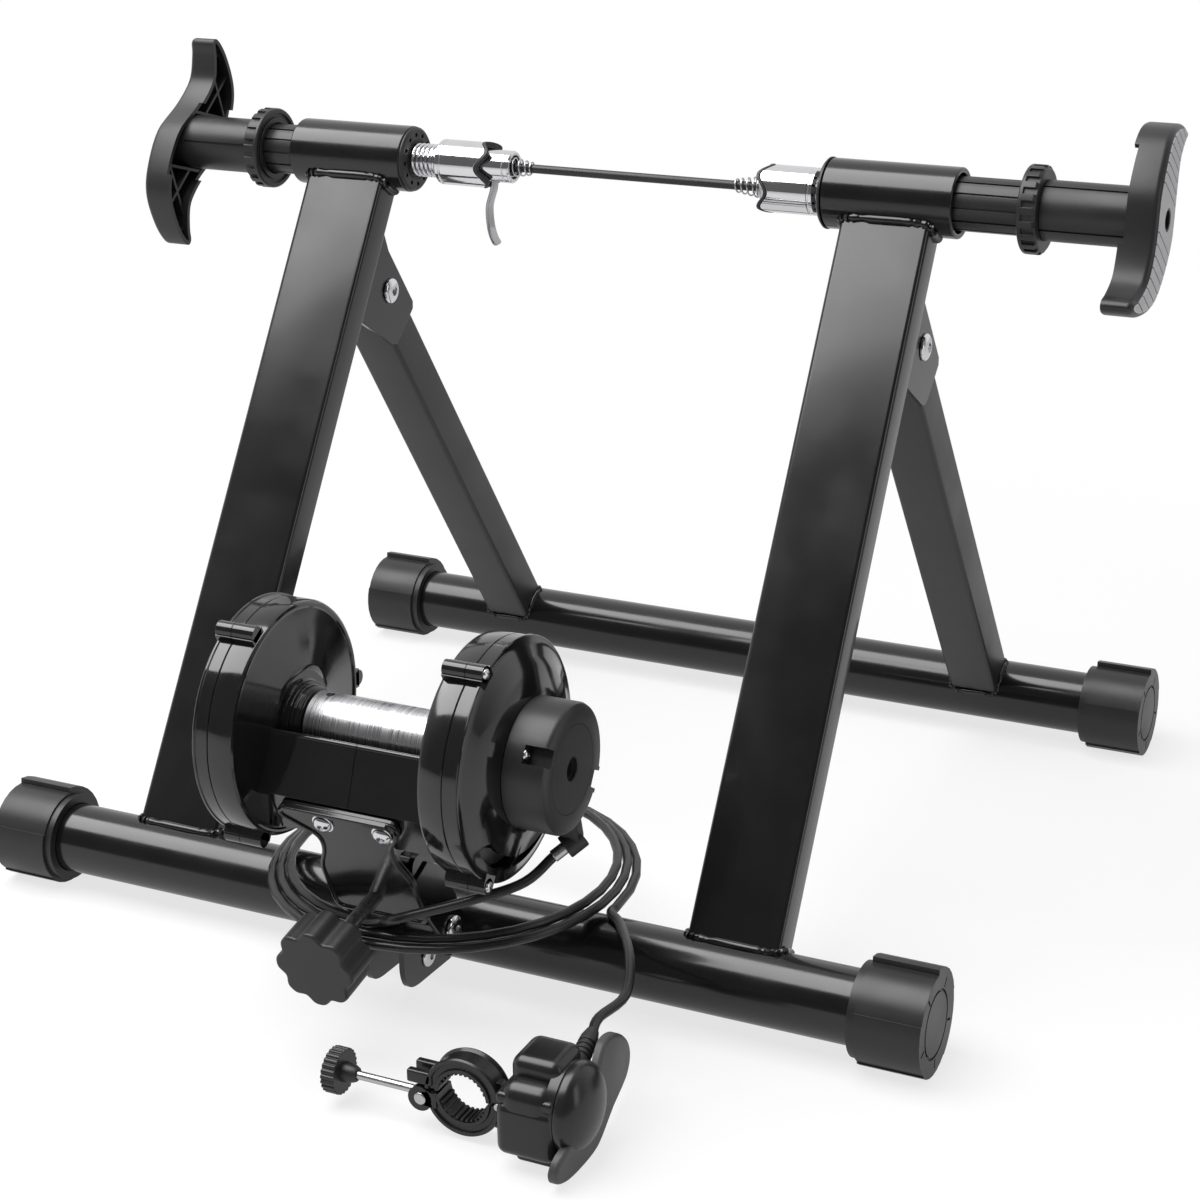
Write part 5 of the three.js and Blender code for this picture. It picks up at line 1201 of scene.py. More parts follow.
finish(lever(), "lever_bent", polished, "skewer_lever", ["qr_lever"],
       clamp_line @ Matrix.Translation(CAM_PLACE), edge=0.2, limit=math.radians(60))

NUT_FACE = 88.7


def skewer_nut():
    section = [(NUT_FACE, 2.8), (NUT_FACE, 5.4)]
    for i in range(9):
        a = i / 8 * math.pi / 2
        section.append((NUT_FACE + 6 - 6 * math.cos(a), 5.4 + 4.9 * math.sin(a)))
    section += [(NUT_FACE + 11, 10.3), (NUT_FACE + 12, 9.3), (NUT_FACE + 12, 2.8)]
    return spun(section, 96, closed=True)


finish(skewer_nut(), "skewer_nut_turned", brushed, "skewer_nut", ["skewer_nut"], clamp_line,
       edge=0.25)
print("clamps done")

# %% [markdown]
# The resistance unit. Each round housing has an inner shell with a dished face and stepped collars
# round the roller, and an outer shell with a lip and a dome. The seam between them shows on the rim,
# where three screws hold them together.

# %% Housing shells
HOUSING_RADIUS = 60
INNER_FACE = 51
SEAM = 64.6
HALF_SEAM = 0.15
OUTER_FACE = 73
SHELL_STEPS = 144
BOSS_ANGLES = [math.radians(a) for a in (139.4, 19.4, -100.6)]
BOSS_CIRCLE = 62.5
BOSS_RADIUS = 4.2


def inner_shell():
    r = HOUSING_RADIUS
    collars = [(48, 25.2), (47.6, 24.6), (47.6, 21), (47, 20), (44.2, 20), (44, 19.7), (44, 18.4), (43.6, 18),
               (41.3, 18), (41, 17.7), (41, 17.5), (40.7, 17.2), (39.2, 17.2), (39.02, 17)]
    section = [(SEAM - HALF_SEAM, r - 2.5), (SEAM - HALF_SEAM, r - 0.3), (SEAM - 0.5, r),
               (INNER_FACE + 2.4, r), (INNER_FACE + 0.6, r - 0.9), (INNER_FACE, r - 2.2),
               (INNER_FACE + 0.1, r - 3.4), (INNER_FACE + 0.9, r - 4.2), (INNER_FACE + 0.4, r - 10),
               (INNER_FACE - 1.2, 38), (INNER_FACE - 2.4, 28)]
    section += collars
    section += [(39.02, 7.5), (40.3, 7.5), (40.3, 16.6), (51, 16.6), (53.5, 54)]
    return spun(section, SHELL_STEPS, closed=True)


def bosses(start, end):
    parts = []
    for a in BOSS_ANGLES:
        boss = rod(BOSS_RADIUS, start, end, 32)
        parts.append(moved(boss, Matrix.Translation((0, *around(BOSS_CIRCLE, a)))))
        foot_middle = ((start + end) / 2, *around(BOSS_CIRCLE - 3, a))
        parts.append(block((end - start, 7, BOSS_RADIUS * 2.4), foot_middle, rolled(a)))
    return parts


# %% [markdown]
# The cradle under the roller joins the two inner shells. It is moulded in two halves with them, so
# there is a fine seam in the middle, and its front edge has a raised bead.

# %% Cradle
GUTTER = [(-27, -6.4), (-27, -36.3), (-10, -53), (10, -53), (27, -36.3), (27, -6.4)]
GUTTER_INSIDE = [(24, -6.4), (24, -35.1), (8.8, -50), (-8.8, -50), (-24, -35.1), (-24, -6.4)]


def cradle():
    gutter = slab(GUTTER + GUTTER_INSIDE, HALF_SEAM, 53)
    beads = [moved(rod(1.5, HALF_SEAM, 50, 24), Matrix.Translation((0, s * 25.6, -6.2))) for s in (-1, 1)]
    shoulder = slab([(-27.6, -33), (-27.6, -37), (-10.4, -53.8), (-9.5, -52), (-26.5, -35)], 44, 52)
    return gathered(inner_shell(), gutter, *beads, shoulder, *bosses(INNER_FACE + 1.2, SEAM - HALF_SEAM))


for side, flip in SIDES:
    finish(cradle(), f"cradle_{side}_moulding", gloss, "resistance_unit", [f"cradle_{side}"],
           unit_line @ flip, edge=0.4, limit=math.radians(28))

# %% [markdown]
# The outer shells. The right one carries the brake, so its dome rises to the seat of a round cap and
# has two long vents low at the front. The left one is closed by a round plug on the axis.

# %% Outer shells
BOSS_TOP = OUTER_FACE + 0.8
VENT_ANGLES = [math.radians(a) for a in (-62, -104)]
VENT_SWEEP = math.radians(34)
VENT_CIRCLE = 50
VENT_HALF = 3.5


def outer_shell(top, top_radius, hole):
    r = HOUSING_RADIUS
    return spun([(SEAM + HALF_SEAM, r - 2.5), (SEAM + HALF_SEAM, r - 0.3), (SEAM + 0.5, r),
                 (OUTER_FACE - 1.8, r), (OUTER_FACE - 1.5, r + 0.7), (OUTER_FACE - 0.4, r + 0.7),
                 (OUTER_FACE, r + 0.2), (OUTER_FACE + 0.2, r - 2), (OUTER_FACE + 1.2, r - 4),
                 (OUTER_FACE + 3.2, r - 9),
                 (OUTER_FACE + 5.4, (r + top_radius) / 2), (top - 1, top_radius + 4), (top, top_radius),
                 (top, hole), (top - 2.5, hole), (top - 2.5, top_radius - 1),
                 (OUTER_FACE + 2.5, (r + top_radius) / 2), (OUTER_FACE - 2, r - 6),
                 (OUTER_FACE - 5, r - 2.5)], SHELL_STEPS, closed=True)


def vent(angle):
    half_sweep = VENT_SWEEP / 2
    outer = circle(VENT_CIRCLE + VENT_HALF, 15, start=angle - half_sweep, sweep=VENT_SWEEP)
    inner = circle(VENT_CIRCLE - VENT_HALF, 15, start=angle + half_sweep, sweep=-VENT_SWEEP)
    ends = []
    for a, turned in ((angle + half_sweep, 0), (angle - half_sweep, math.pi)):
        ends.append(circle(VENT_HALF, 9, around(VENT_CIRCLE, a), a + turned, math.pi)[1:-1])
    return outer + ends[0] + inner + ends[1]


right_shell = outer_shell(81.5, 34, 20.8)
right_shell = cut(right_shell, *[slab(vent(a), 68, 104) for a in VENT_ANGLES])
left_shell = outer_shell(78.7, 13, 7.5)
plug = spun([(76.2, 0), (76.2, 8), (77.5, 8), (78.7, 7), (79.2, 0)], 64)
for side, flip, shell in (("right", here, right_shell), ("left", MIRROR, gathered(left_shell, plug))):
    finish(gathered(shell, *bosses(SEAM + HALF_SEAM, BOSS_TOP)), f"housing_{side}_moulding", gloss,
           "resistance_unit", [f"housing_{side}"], unit_line @ flip, edge=0.4,
           limit=math.radians(28))
print("housings", 2 * HOUSING_RADIUS, "mm across")

# %% [markdown]
# The screws have low round heads with a cross. Each is turned by its own angle on the rim, because no
# two screws stop alike.

# %% Housing screws
def screw(radius, x, y, z, turn):
    height = radius * 0.55
    head = spun([(x, 0), (x, radius)] + domed(x, radius, height, 6), 32)
    cross = [block((radius * 0.7, radius * 0.28, radius * 1.1), (x + height, 0, 0),
                   rolled(turn + k * math.pi / 2)) for k in (0, 1)]
    return moved(cut(head, *cross), Matrix.Translation((0, y, z)))


for side, flip in SIDES:
    screws = [screw(2.7, BOSS_TOP, *around(BOSS_CIRCLE, a), a) for a in BOSS_ANGLES]
    finish(gathered(*screws), f"housing_screws_{side}", chrome, "resistance_unit", (),
           unit_line @ flip, edge=0.12)

# %% [markdown]
# The brake cap: a thick disc with a rounded edge, two notches that hold its screws, and a hole on the
# axis. A fine circle is turned into its face, and a near-black well, painted shade, closes the hole from
# behind.

# %% Brake cap
NOTCHES = [math.radians(a) for a in (169.4, -10.6)]
CAP_START = 81.8
CAP_RADIUS = 32.5
WELL_RADIUS = 5.9
PAD_CIRCLE = 27.4


def brake_cap():
    body = spun([(CAP_START, 30), (CAP_START, CAP_RADIUS), (CAP_TOP - 2.2, CAP_RADIUS), (CAP_TOP - 0.7, 31.8),
                 (CAP_TOP, 30.3), (CAP_TOP, 22.3), (CAP_TOP - 0.3, 22.15), (CAP_TOP, 22), (CAP_TOP, 6.5),
                 (CAP_TOP - 0.6, WELL_RADIUS), (CAP_TOP - 2.6, WELL_RADIUS), (CAP_TOP - 2.6, 28),
                 (CAP_TOP - 5, 30)], SHELL_STEPS, closed=True)
    pads, cuts = [], []
    pad_depth = CAP_TOP - CAP_START - 0.6
    pad_middle = CAP_TOP / 2 + CAP_START / 2
    for a in NOTCHES:
        pads.append(block((pad_depth, 8.4, 13), (pad_middle, *around(PAD_CIRCLE, a)), rolled(a)))
        cuts.append(block((24, 14, 9), (CAP_TOP, *around(CAP_RADIUS, a)), rolled(a)))
    return cut(gathered(body, *pads), *cuts)


cap_screws = gathered(*[screw(2.9, CAP_TOP - 11.8, *around(29.6, a), a) for a in NOTCHES])
well = pipe(WELL_RADIUS, 4.6, CAP_TOP - 9, CAP_TOP - 2.4, 48)
finish(brake_cap(), "brake_cap_moulding", satin, "resistance_unit", ["brake_cap"], unit_line,
       edge=0.5, segments=3)
finish(cap_screws, "brake_cap_screws", chrome, "resistance_unit", (), unit_line, edge=0.12)
# The well is a near-black pipe in the hole: painted shade.
finish(well, "brake_cap_shade_well", deep, "resistance_unit", (), unit_line, edge=0)

# %% [markdown]
# The stop of the cable is a short arm below the cap, with a barrel that the cable passes through.

# %% Cable stop
arm_middle = (STOP_RADIUS + CAP_RADIUS) / 2 - 1
arm = block((9.6, 12, 7.6), (CAP_TOP - STOP_DROP, *around(arm_middle, STOP_ANGLE)), rolled(STOP_ANGLE))
barrel = pipe(6.1, 3.5, -5.4, 5.4, 48)
finish(arm, "cable_stop_arm", satin, "resistance_unit", (), unit_line, edge=1.4, segments=4)
finish(barrel, "cable_stop_barrel", satin, "resistance_unit", (), stop_place, edge=0.8,
       segments=3)
print("cable stop at", stop_world)

# %% [markdown]
# Inside: the roller is turned from steel tube, has a small hole near one end, and keeps fine rings of
# the tool. The flywheels, the disc and the bearings are mostly hidden, so they keep the model's own
# shapes and only get a finish.

# %% Roller and inner parts
ROLLER_HALF = 38.7
ROLLER_BORE = 6.3


def roller():
    half = ROLLER_HALF
    body = spun([(-half, ROLLER_BORE), (-half, 15), (-half + 1, 16), (half - 1, 16), (half, 15),
                 (half, ROLLER_BORE)], SHELL_STEPS, closed=True)
    hole = moved(rod(2.25, 8, 20, 32), Matrix.Rotation(-math.pi / 2, 4, "Y"))
    hole = moved(hole, Matrix.Translation((-half + 8, 0, 0)))
    hole = moved(hole, rolled(math.radians(20)))
    return cut(body, hole)


finish(roller(), "roller_turned", brushed, "rotor", ["roller"], unit_line, edge=0.3)
shown = {
    zinc: ["shaft", "bearing_left", "bearing_right", "brake_disc"],
    dull_zinc: ["flywheel_left", "flywheel_right"],
    # The magnet carrier deep in the unit gets the near-black of painted shade.
    deep: ["magnet_carrier"],
}
for material, names in shown.items():
    for name in names:
        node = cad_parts[name]
        node.data.materials.clear()
        node.data.materials.append(material)
print("unit done")

# %% [markdown]
# The bracket under the cradle is pressed from one sheet: a wide plate with rounded corners, then a
# stalk with two cheeks that swing on a bolt through the lug of the front tube.

# %% Unit bracket
SHEET = 3
PIVOT = (-36, 16)
LUG_BOLT = (-36, -2)
EAR = 11
SCREW_FOOT = Vector((-62, 43))
SCREW_SLOPE = math.radians(11)
WEB_CORNER = Vector((-87.98, 99.45))
WEB_TAIL = 13
PLATE_LEFT = -42
PLATE_RIGHT = 28
WAIST = 21
STALK = 27
FLARE = 44
CORNER_RADIUS = 5
CORNER_STEPS = 6
web_down = (SCREW_FOOT - WEB_CORNER).normalized()
web_in = Vector((-web_down.y, web_down.x))
web_end = (SCREW_FOOT - WEB_CORNER).length + WEB_TAIL


def softened(points):
    out = []
    count = len(points)
    for i in range(count):
        before, corner, after = (Vector(points[k % count]) for k in (i - 1, i, i + 1))
        reach_in = min(CORNER_RADIUS, (before - corner).length * 0.45)
        reach_out = min(CORNER_RADIUS, (after - corner).length * 0.45)
        first = corner + (before - corner).normalized() * reach_in
        last = corner + (after - corner).normalized() * reach_out
        for k in range(CORNER_STEPS + 1):
            f = k / CORNER_STEPS
            out.append(tuple(first * (1 - f) ** 2 + corner * 2 * f * (1 - f) + last * f ** 2))
    return out


def web_at(along, deep):
    return tuple(WEB_CORNER + web_down * along + web_in * deep)


web_out = Vector((0, -web_in.x, -web_in.y))
web_up = Vector((0, -web_down.x, -web_down.y))
web_turn = Matrix((web_out, Vector((1, 0, 0)), web_up)).transposed().to_4x4()
web_place = Matrix.Translation((0, *WEB_CORNER)) @ web_turn
WEB_FACE = [(PLATE_LEFT, -8), (PLATE_LEFT + 7, 0), (PLATE_RIGHT, 0), (PLATE_RIGHT, -10), (WAIST, -20),
            (WAIST, -30), (STALK, -FLARE), (STALK, -web_end), (-STALK, -web_end), (-STALK, -FLARE),
            (-WAIST, -30), (-WAIST, -20)]


def bracket_mesh():
    web = moved(slab(softened(WEB_FACE), 0, SHEET), web_place)
    lip_middle = (SHEET + 1, (PLATE_RIGHT + PLATE_LEFT) / 2 + 2, -1.4)
    lip = moved(block((3.4, PLATE_RIGHT - PLATE_LEFT - 12, 2.6), lip_middle), web_place)
    pivot = Vector(PIVOT)
    ear = [tuple(pivot + Vector((math.cos(a), math.sin(a))) * EAR)
           for a in (math.pi + math.pi * k / 12 for k in range(13))]
    cheek = [web_at(FLARE, -1.5), web_at(web_end, -1.5)] + ear
    cheek += [(pivot.x + EAR, pivot.y + EAR / 2), web_at(web_end - WEB_TAIL, 24), web_at(FLARE, 12)]
    cheeks = [slab(cheek, x, x + SHEET) for x in (STALK - SHEET, -STALK)]
    return gathered(web, lip, *cheeks)


finish(bracket_mesh(), "unit_bracket_pressing", paint, "resistance_unit", ["unit_bracket"],
       here, edge=0.9, segments=3)
rim = [(x * (1 - 1.3 / max(abs(x), 1)), z - 1.2 if z > -5 else z) for x, z in softened(WEB_FACE)]
wire([(SHEET, x, z) for x, z in rim], 1.15, "unit_bracket_bead", paint, "resistance_unit",
     place=web_place, sides=4, cyclic=True)


# %% [markdown]
# Two dome bolts hold the plate to the cradle. The lug below is a pair of plates on the front tube with
# a barrel between them, on the line of the tension screw, and both are crossed by bolts.

# %% Bolts and lug of the bracket
BOLT_HEAD = 5
BOLT_DOME = 3
LUG_HALF = 12
LUG_CHEEK = [(-60, -2.5), (-56.3, -10.75), (-49, -13.5), (0, -16.05), (0, 16.05), (-18.4, 27), (-22.8, 54),
             (-25, 57), (-47, 57), (-51.2, 35.8), (-60, 21.5)]


def dome_bolt(x, z):
    section = [(SHEET - 1, 0), (SHEET - 1, BOLT_HEAD * 1.15), (SHEET + 0.7, BOLT_HEAD * 1.15),
               (SHEET + 0.8, BOLT_HEAD)] + domed(SHEET + 0.8, BOLT_HEAD, BOLT_DOME)
    socket = slab(hexagon(BOLT_HEAD * 0.42), SHEET + BOLT_DOME * 0.55, SHEET + BOLT_DOME + 3)
    return moved(cut(spun(section, 40), socket), Matrix.Translation((0, x, z)))


finish(gathered(dome_bolt(-14.5, -9.5), dome_bolt(19, -9.5)), "unit_bracket_bolts", chrome,
       "resistance_unit", (), web_place, edge=0.2)


def lug_mesh():
    cheeks = [slab(softened(LUG_CHEEK), x, x + SHEET) for x in (-LUG_HALF, LUG_HALF - SHEET)]
    strap = slab([(-28.05, 19), (-25.05, 19), (-25.05, 32.5), (-28.05, 32.5)], -LUG_HALF, LUG_HALF)
    forward_part = (PIVOT[0] - SCREW_FOOT.x) * math.cos(SCREW_SLOPE)
    offset = forward_part + (PIVOT[1] - SCREW_FOOT.y) * math.sin(SCREW_SLOPE)
    nut = (SCREW_FOOT.x + offset * math.cos(SCREW_SLOPE), SCREW_FOOT.y + offset * math.sin(SCREW_SLOPE))
    barrel = moved(rod(7, -LUG_HALF, LUG_HALF, 48), Matrix.Translation((0, *nut)))
    plate = gathered(*cheeks, strap, barrel)
    return cut(plate, rod(TUBE_RADIUS + 0.3, -20, 20, 96))


finish(lug_mesh(), "unit_lug_plates", paint, "front_frame", ["unit_lug"], here, edge=0.5)
cross_bolt("pivot_bolt_set", "pivot_bolt", "front_frame", 27.3, 7.2, Matrix.Translation((0, *PIVOT)))
cross_bolt("lug_bolt_set", "lug_bolt", "front_frame", 12.3, 6, Matrix.Translation((0, *LUG_BOLT)))
print("bracket done")

# %% [markdown]
# The tension knob has eight soft lobes. Its outline is a circle with scoops between the lobes, and
# the front edge is rounded well so that it feels good in the hand. Its screw is zinc-plated, with a
# thread that is a row of small teeth in the spun section.

# %% Tension knob
KNOB_RADIUS = 21.5
KNOB_LOBES = 8
KNOB_SCOOP = 2.9
KNOB_STEPS = 160
THREADS = 24
forward = Vector((0, -math.cos(SCREW_SLOPE), -math.sin(SCREW_SLOPE)))
across = Vector((1, 0, 0))
screw_turn = Matrix((forward, across, forward.cross(across))).transposed().to_4x4()
screw_place = Matrix.Translation((0, *SCREW_FOOT)) @ screw_turn


def knob_outline():
    points = []
    for i in range(KNOB_STEPS):
        a = TURN * i / KNOB_STEPS
        scoop = (0.5 - 0.5 * math.cos(KNOB_LOBES * a)) ** 1.6
        points.append(around(KNOB_RADIUS - KNOB_SCOOP * scoop, a))
    return points


def tension_knob():
    star = slab(knob_outline(), 43, 64)
    hollow = pipe(15.5, 8.5, 42, 49, 64)
    return cut(star, hollow)


def tension_screw():
    section = [(-39, 0), (-39, 3)]
    for i in range(THREADS):
        at = -38 + 37 * i / THREADS
        section += [(at, 3.5), (at + 0.75, 4)]
    section += [(5, 4), (44, 4), (44, 0)]
    return spun(section, 48)


finish(tension_knob(), "tension_knob_moulding", satin, "knob", ["tension_knob"], screw_place,
       edge=1.6, segments=4, limit=math.radians(50))
finish(tension_screw(), "tension_screw", zinc, "knob", (), screw_place, edge=0)

# %% [markdown]
# The remote shifter lies on the floor. A ribbed boot leads the cable in, and a ring of two halves with
# blunt teeth inside would hold it on a handlebar. Boot and ring are turned; one half of the ring is
# what remains when a block takes the other half away.

# %% Boot and bar ring
RING_X = -39.5
RING_DROP = 6.5
RING_OUT = 20
RING_BORE = 12.7
RING_WIDTH = 13
RING_TEETH = 12
PIN = (RING_X - 22.5, -5.67 - RING_DROP)
JAW_HINGE = RING_X + 18.8
across_bar = Matrix.Rotation(math.pi / 2, 4, "Z")


def boot():
    section = [(-3, 0), (-3, 6.4), (0, 6.2), (3, 5.4)]
    for k in range(4):
        at = 6 + k * 3.1
        ridge = 4.9 - 0.1 * k
        valley = 4.1 - 0.1 * k
        section += [(at, ridge), (at + 0.4, valley), (at + 1.3, valley), (at + 1.7, ridge)]
    section += [(21, 4.3), (BOOT_LENGTH, 3.1), (BOOT_LENGTH, 0)]
    turn = Vector((1, 0, 0)).rotation_difference(boot_way).to_matrix().to_4x4()
    return moved(spun(section, 40), Matrix.Translation(boot_root - shifter_place.translation) @ turn)


def ring_half(sign):
    half = RING_WIDTH / 2
    ring = spun([(-half, RING_BORE), (-half, 14.4), (-half + 1.2, 14.9), (-half + 1.2, 17.3), (-half, 17.8),
                 (-half, RING_OUT - 0.5), (-half + 1.2, RING_OUT), (-half + 2.6, RING_OUT - 1.1),
                 (half - 2.6, RING_OUT - 1.1), (half - 1.2, RING_OUT), (half, RING_OUT - 0.5), (half, 17.8),
                 (half - 1.2, 17.3), (half - 1.2, 14.9), (half, 14.4), (half, RING_BORE)], 120, closed=True)
    ring = moved(ring, Matrix.Translation((RING_X, 0, 0)) @ across_bar)
    away = block((90, 60, 40), (RING_X, 0, -sign * (20 - 0.8)))
    return cut(ring, away)


def serrations(sign):
    teeth = []
    for k in range(RING_TEETH):
        a = sign * (0.35 + k * 0.215)
        teeth.append(block((1.5, RING_WIDTH - 1.6, 1.3),
                           (RING_X + 12.2 * math.cos(a), 0, 12.2 * math.sin(a)), Matrix.Rotation(-a, 4, "Y")))
    return gathered(*teeth)


def clamp_ears():
    ears = []
    for side in (-1, 1):
        ear_place = Matrix.Translation((PIN[0], side * 4.75, PIN[1] + RING_DROP)) @ across_bar
        ear = moved(rod(6.3, -1.75, 1.75, 48), ear_place)
        neck = block((7.5, 3.5, 7.5), (PIN[0] + 5, side * 4.75, PIN[1] + RING_DROP + 0.6))
        ears += [ear, neck]
    return gathered(*ears)


# %% [markdown]
# The housing is built from blocks with generous rounds, because that is how the moulding reads: a low
# block in front, a higher one behind it, a thin ledge between them and a foot below.

# %% Shifter housing
def soft_block(size, centre, radius):
    bm = block(size, centre)
    bmesh.ops.bevel(bm, geom=list(bm.edges), offset=radius, segments=7, profile=0.5, affect="EDGES",
                    material=-1)
    return bm


def housing():
    drum = soft_block((29, 41, 35), (0, -1, -1.5), 9)
    front = soft_block((30, 20, 27), (0.2, -12, -7), 5)
    hood = soft_block((26, 27, 20), (0.5, 3, 14.5), 6)
    ledge = soft_block((29.4, 24, 6), (0, -8.5, 8.2), 2.4)
    foot = soft_block((20, 22, 16), (0, 0, -20.9), 2.5)
    hub = rod(21, 9, 14.4, 96)
    arm = soft_block((12.3, 11, 12), (-18, 0, -RING_DROP - 6.2), 1.5)
    return gathered(drum, front, hood, ledge, foot, hub, arm)


finish(housing(), "shifter_housing", satin_gloss, "front_frame", ["shifter_body"],
       shifter_place, edge=0.4)
finish(boot(), "shifter_boot", matt, "front_frame", (), shifter_place, edge=0.25)
drop = shifter_place @ Matrix.Translation((0, 0, -RING_DROP))
finish(gathered(ring_half(-1), clamp_ears()), "bar_ring_lower", satin_gloss, "front_frame",
       (), drop, edge=0.35)
finish(serrations(-1), "bar_ring_lower_teeth", matt, "front_frame", (), drop, edge=0.1)
print("shifter housing done")

# %% [markdown]
# The free half of the bar clamp turns on a steel pin next to the housing. Its fork at the other end
# takes the swing bolt when the clamp is shut. Here the bolt is swung out, as it would be handed over.

# %% Bar clamp
def jaw():
    half_ring = ring_half(1)
    fork = [soft_block((13.5, 4.1, 6.6), (RING_X - 22.6, side * 4.45, 5.2), 1.2) for side in (-1, 1)]
    knuckle = moved(rod(4, -2.3, 2.3, 40), Matrix.Translation((JAW_HINGE, 0, 0)) @ across_bar)
    arm = block((5, 4.6, 9.6), (JAW_HINGE - 2.6, 0, 5.2))
    return gathered(half_ring, *fork, knuckle, arm)


finish(jaw(), "bar_jaw_upper", satin_gloss, "clamp_jaw", ["bar_jaw"], drop, edge=0.35)
finish(serrations(1), "bar_jaw_teeth", matt, "clamp_jaw", (), drop, edge=0.1)
hinge_pin = moved(rod(1.9, -6.9, 6.9, 32), Matrix.Translation((JAW_HINGE, 0, 0)) @ across_bar)
finish(hinge_pin, "bar_jaw_pin", zinc, "front_frame", (), drop, edge=0.3)
pin_place = shifter_place @ Matrix.Translation((PIN[0], 0, PIN[1]))
BOLT_REACH = -38 - 6.3


def swing_bolt():
    eye = moved(rod(5.1, -2.5, 2.5, 40), across_bar)
    cross = spun([(-7, 0), (-7, 2.6), (-6.6, 3.1), (-6.2, 3.1), (-6.2, 2.1), (6.2, 2.1), (6.2, 3.1),
                  (6.6, 3.1), (7, 2.6), (7, 0)], 40)
    cross = moved(cross, across_bar)
    stem = rod(2.1, BOLT_REACH - 9, 0, 32)
    return gathered(eye, cross, stem)


def fluted(radius, count, depth):
    points = []
    for i in range(count * 8):
        a = TURN * i / (count * 8)
        points.append(around(radius - depth * (0.5 + 0.5 * math.cos(count * a)) ** 3, a))
    return points


def clamp_knob():
    wheel = slab(fluted(11.25, 24, 0.8), BOLT_REACH - 7.2, BOLT_REACH)
    wheel = cut(wheel, rod(8.6, BOLT_REACH - 8, BOLT_REACH - 5, 64))
    hub = spun([(BOLT_REACH - 6.6, 2.4), (BOLT_REACH - 6.6, 5), (BOLT_REACH, 5), (BOLT_REACH + 5.4, 4.2),
                (BOLT_REACH + 7.2, 3.4), (BOLT_REACH + 7.2, 2.4)], 48, closed=True)
    return gathered(wheel, hub)


finish(swing_bolt(), "swing_bolt_turned", zinc, "clamp_bolt", ["swing_bolt"], pin_place, edge=0.2)
finish(clamp_knob(), "clamp_knob_fluted", satin, "bolt_knob", ["clamp_knob"], pin_place,
       edge=0.3)
print("bar clamp done")

# %% [markdown]
# The thumb lever: a dome with two wings. The wings are one bow-shaped plate behind the dome, with a
# soft edge all round. One wing points down in front, the other points back.

# %% Thumb lever
LEVER_START = 14.8
DOME_RADIUS = 21.5
DOME_HEIGHT = 11
WING_SWELL = 260
WING_OUTLINE = [(24, 22), (36, 19), (48, 11.5), (57, 2.5), (60, -6), (56, -12.5), (46, -15), (35, -16),
                (25, -20.5), (17, -25.5), (10, -28), (-4, -28.4), (-18, -27.6), (-27, -24), (-29.5, -17.5),
                (-25, -12), (-16, -8.5), (-5, 0), (8, 10), (16, 18)]


def wings():
    outline = closed_line(WING_OUTLINE, 5)
    return pillow(outline, LEVER_START + 8.2, 1.7, WING_SWELL, skin=2.6, rows=48, columns=24)


def dome():
    section = [(LEVER_START, 0), (LEVER_START, DOME_RADIUS - 0.3), (LEVER_START + 0.6, DOME_RADIUS),
               (LEVER_START + 2.2, DOME_RADIUS)]
    return spun(section + domed(LEVER_START + 2.2, DOME_RADIUS, DOME_HEIGHT, 18), 96)


finish(dome(), "thumb_lever_dome", satin_gloss, "thumb_lever", ["thumb_lever"],
       shifter_place, edge=0)
# The wings are painted lighter than the dome of the same moulding, as painted sheen.
finish(wings(), "thumb_lever_wings", wing_plastic, "thumb_lever", (), shifter_place, edge=0)
print("shifter done")

# %% [markdown]
# The studio. The floor is white and catches the shadow of the stand. Seen by the camera, it glows a
# little more the farther it lies from the middle, so that it runs into the backdrop without an edge.

# %% Floor
def light_path(nodes, links):
    path = nodes.new("ShaderNodeLightPath")
    mirrored = nodes.new("ShaderNodeMath")
    mirrored.operation = "MAXIMUM"
    links.new(path.outputs["Is Glossy Ray"], mirrored.inputs[0])
    links.new(path.outputs["Is Transmission Ray"], mirrored.inputs[1])
    return path.outputs["Is Camera Ray"], mirrored.outputs["Value"]


def blended(nodes, links, factor, low, high):
    mix = nodes.new("ShaderNodeMix")
    mix.data_type = "FLOAT"
    links.new(factor, mix.inputs["Factor"])
    for socket, value in ((mix.inputs["A"], low), (mix.inputs["B"], high)):
        if isinstance(value, float):
            socket.default_value = value
        else:
            links.new(value, socket)
    return mix.outputs["Result"]


floor_mesh = bmesh.new()
bmesh.ops.create_grid(floor_mesh, x_segments=1, y_segments=1, size=6)
floor = as_object(floor_mesh, "studio_floor")
floor_material = bpy.data.materials.new("studio floor")
floor_material.use_nodes = True
nodes, links = floor_material.node_tree.nodes, floor_material.node_tree.links
floor_shader = nodes["Principled BSDF"]
floor_shader.inputs["Base Color"].default_value = (0.8, 0.8, 0.8, 1)
floor_shader.inputs["Roughness"].default_value = 0.9
floor_shader.inputs["Specular IOR Level"].default_value = 0.1
camera_ray, mirror_ray = light_path(nodes, links)
glow = nodes.new("ShaderNodeEmission")
links.new(blended(nodes, links, camera_ray, 0.62, 1.0), glow.inputs["Strength"])
floor_place = nodes.new("ShaderNodeTexCoord")
from_middle = nodes.new("ShaderNodeVectorMath")
from_middle.operation = "LENGTH"
links.new(floor_place.outputs["Object"], from_middle.inputs[0])
fading = nodes.new("ShaderNodeMapRange")
fading.interpolation_type = "SMOOTHSTEP"
for label, value in (("From Min", 0.3), ("From Max", 0.95), ("To Min", 0.74), ("To Max", 1.0)):
    fading.inputs[label].default_value = value
links.new(from_middle.outputs["Value"], fading.inputs["Value"])
unseen_share = blended(nodes, links, mirror_ray, 0.0, 0.7)
share = blended(nodes, links, camera_ray, unseen_share, fading.outputs["Result"])
joint = nodes.new("ShaderNodeMixShader")
links.new(share, joint.inputs["Fac"])
links.new(floor_shader.outputs["BSDF"], joint.inputs[1])
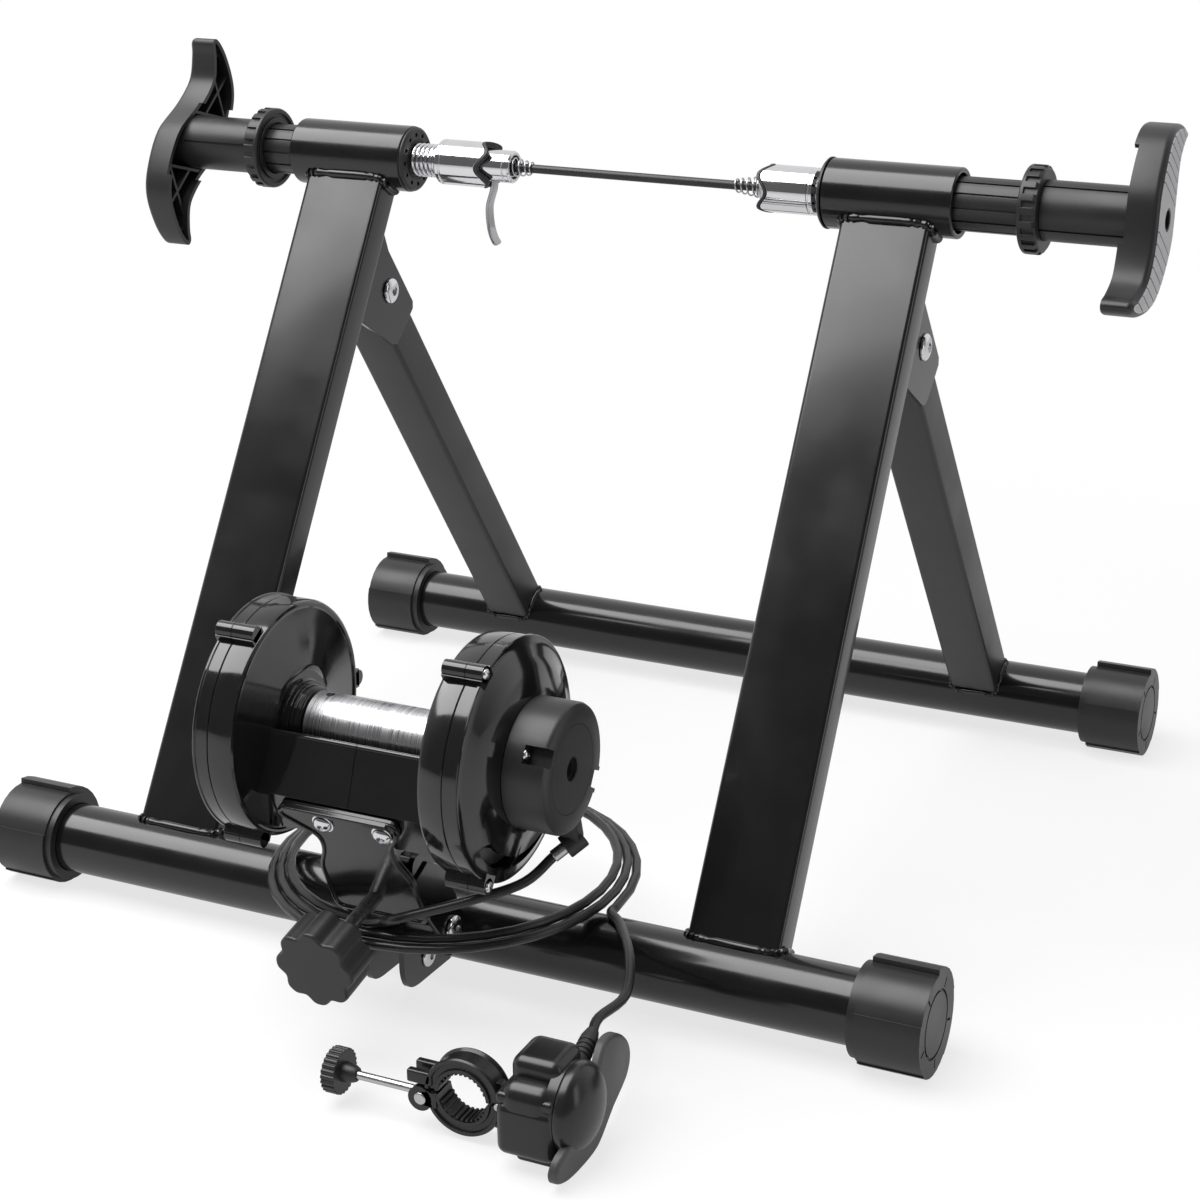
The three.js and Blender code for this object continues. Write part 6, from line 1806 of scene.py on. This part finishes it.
links.new(glow.outputs["Emission"], joint.inputs[2])
links.new(joint.outputs["Shader"], nodes["Material Output"].inputs["Surface"])
floor.data.materials.append(floor_material)

# %% [markdown]
# The camera sees a white backdrop. Metal and paint see a room that is bright towards the backdrop and
# dim behind the camera, so black surfaces that face it stay black, and chrome gets its dark bands.

# %% World
BACKDROP = Vector((-0.43, 0.9, 0.1))
world = bpy.data.worlds.new("studio")
scene.world = world
world.use_nodes = True
nodes, links = world.node_tree.nodes, world.node_tree.links
background = nodes["Background"]
camera_ray, mirror_ray = light_path(nodes, links)
direction = nodes.new("ShaderNodeTexCoord")
toward = nodes.new("ShaderNodeVectorMath")
toward.operation = "DOT_PRODUCT"
toward.inputs[1].default_value = BACKDROP
links.new(direction.outputs["Generated"], toward.inputs[0])
room = nodes.new("ShaderNodeMapRange")
room.interpolation_type = "SMOOTHSTEP"
for label, value in (("From Min", -0.35), ("From Max", 0.45), ("To Min", 0.12), ("To Max", 0.8)):
    room.inputs[label].default_value = value
links.new(toward.outputs["Value"], room.inputs["Value"])
strength = blended(nodes, links, mirror_ray, 0.4, room.outputs["Result"])
links.new(blended(nodes, links, camera_ray, strength, 1.0), background.inputs["Strength"])
background.inputs["Color"].default_value = (1, 1, 1, 1)

# %% [markdown]
# One large softbox hangs over the stand to the left. Its front edge is what fades the reflection along
# the legs. A weak strip on the right draws a thin light along the tubes.

# %% Lamps
def lamp(name, place, aim, size, radiance):
    light = bpy.data.lights.new(name, "AREA")
    light.shape = "RECTANGLE"
    light.size, light.size_y = size
    light.energy = radiance * math.pi * size[0] * size[1]
    item = bpy.data.objects.new(name, light)
    scene.collection.objects.link(item)
    look = (Vector(aim) - Vector(place)).normalized()
    item.matrix_world = Matrix.Translation(place) @ look.to_track_quat("-Z", "Y").to_matrix().to_4x4()


lamp("softbox", (-0.9, -0.52, 1.9), (-0.9, -0.52, 0), (2.3, 1.7), 5.6)
lamp("side strip", (2.2, -0.2, 0.9), (0, 0, 0.2), (0.5, 1.6), 2.0)

# %% [markdown]
# Last, the number of pieces that were built is printed.

# %% Count of pieces
print("pieces", len(pieces))
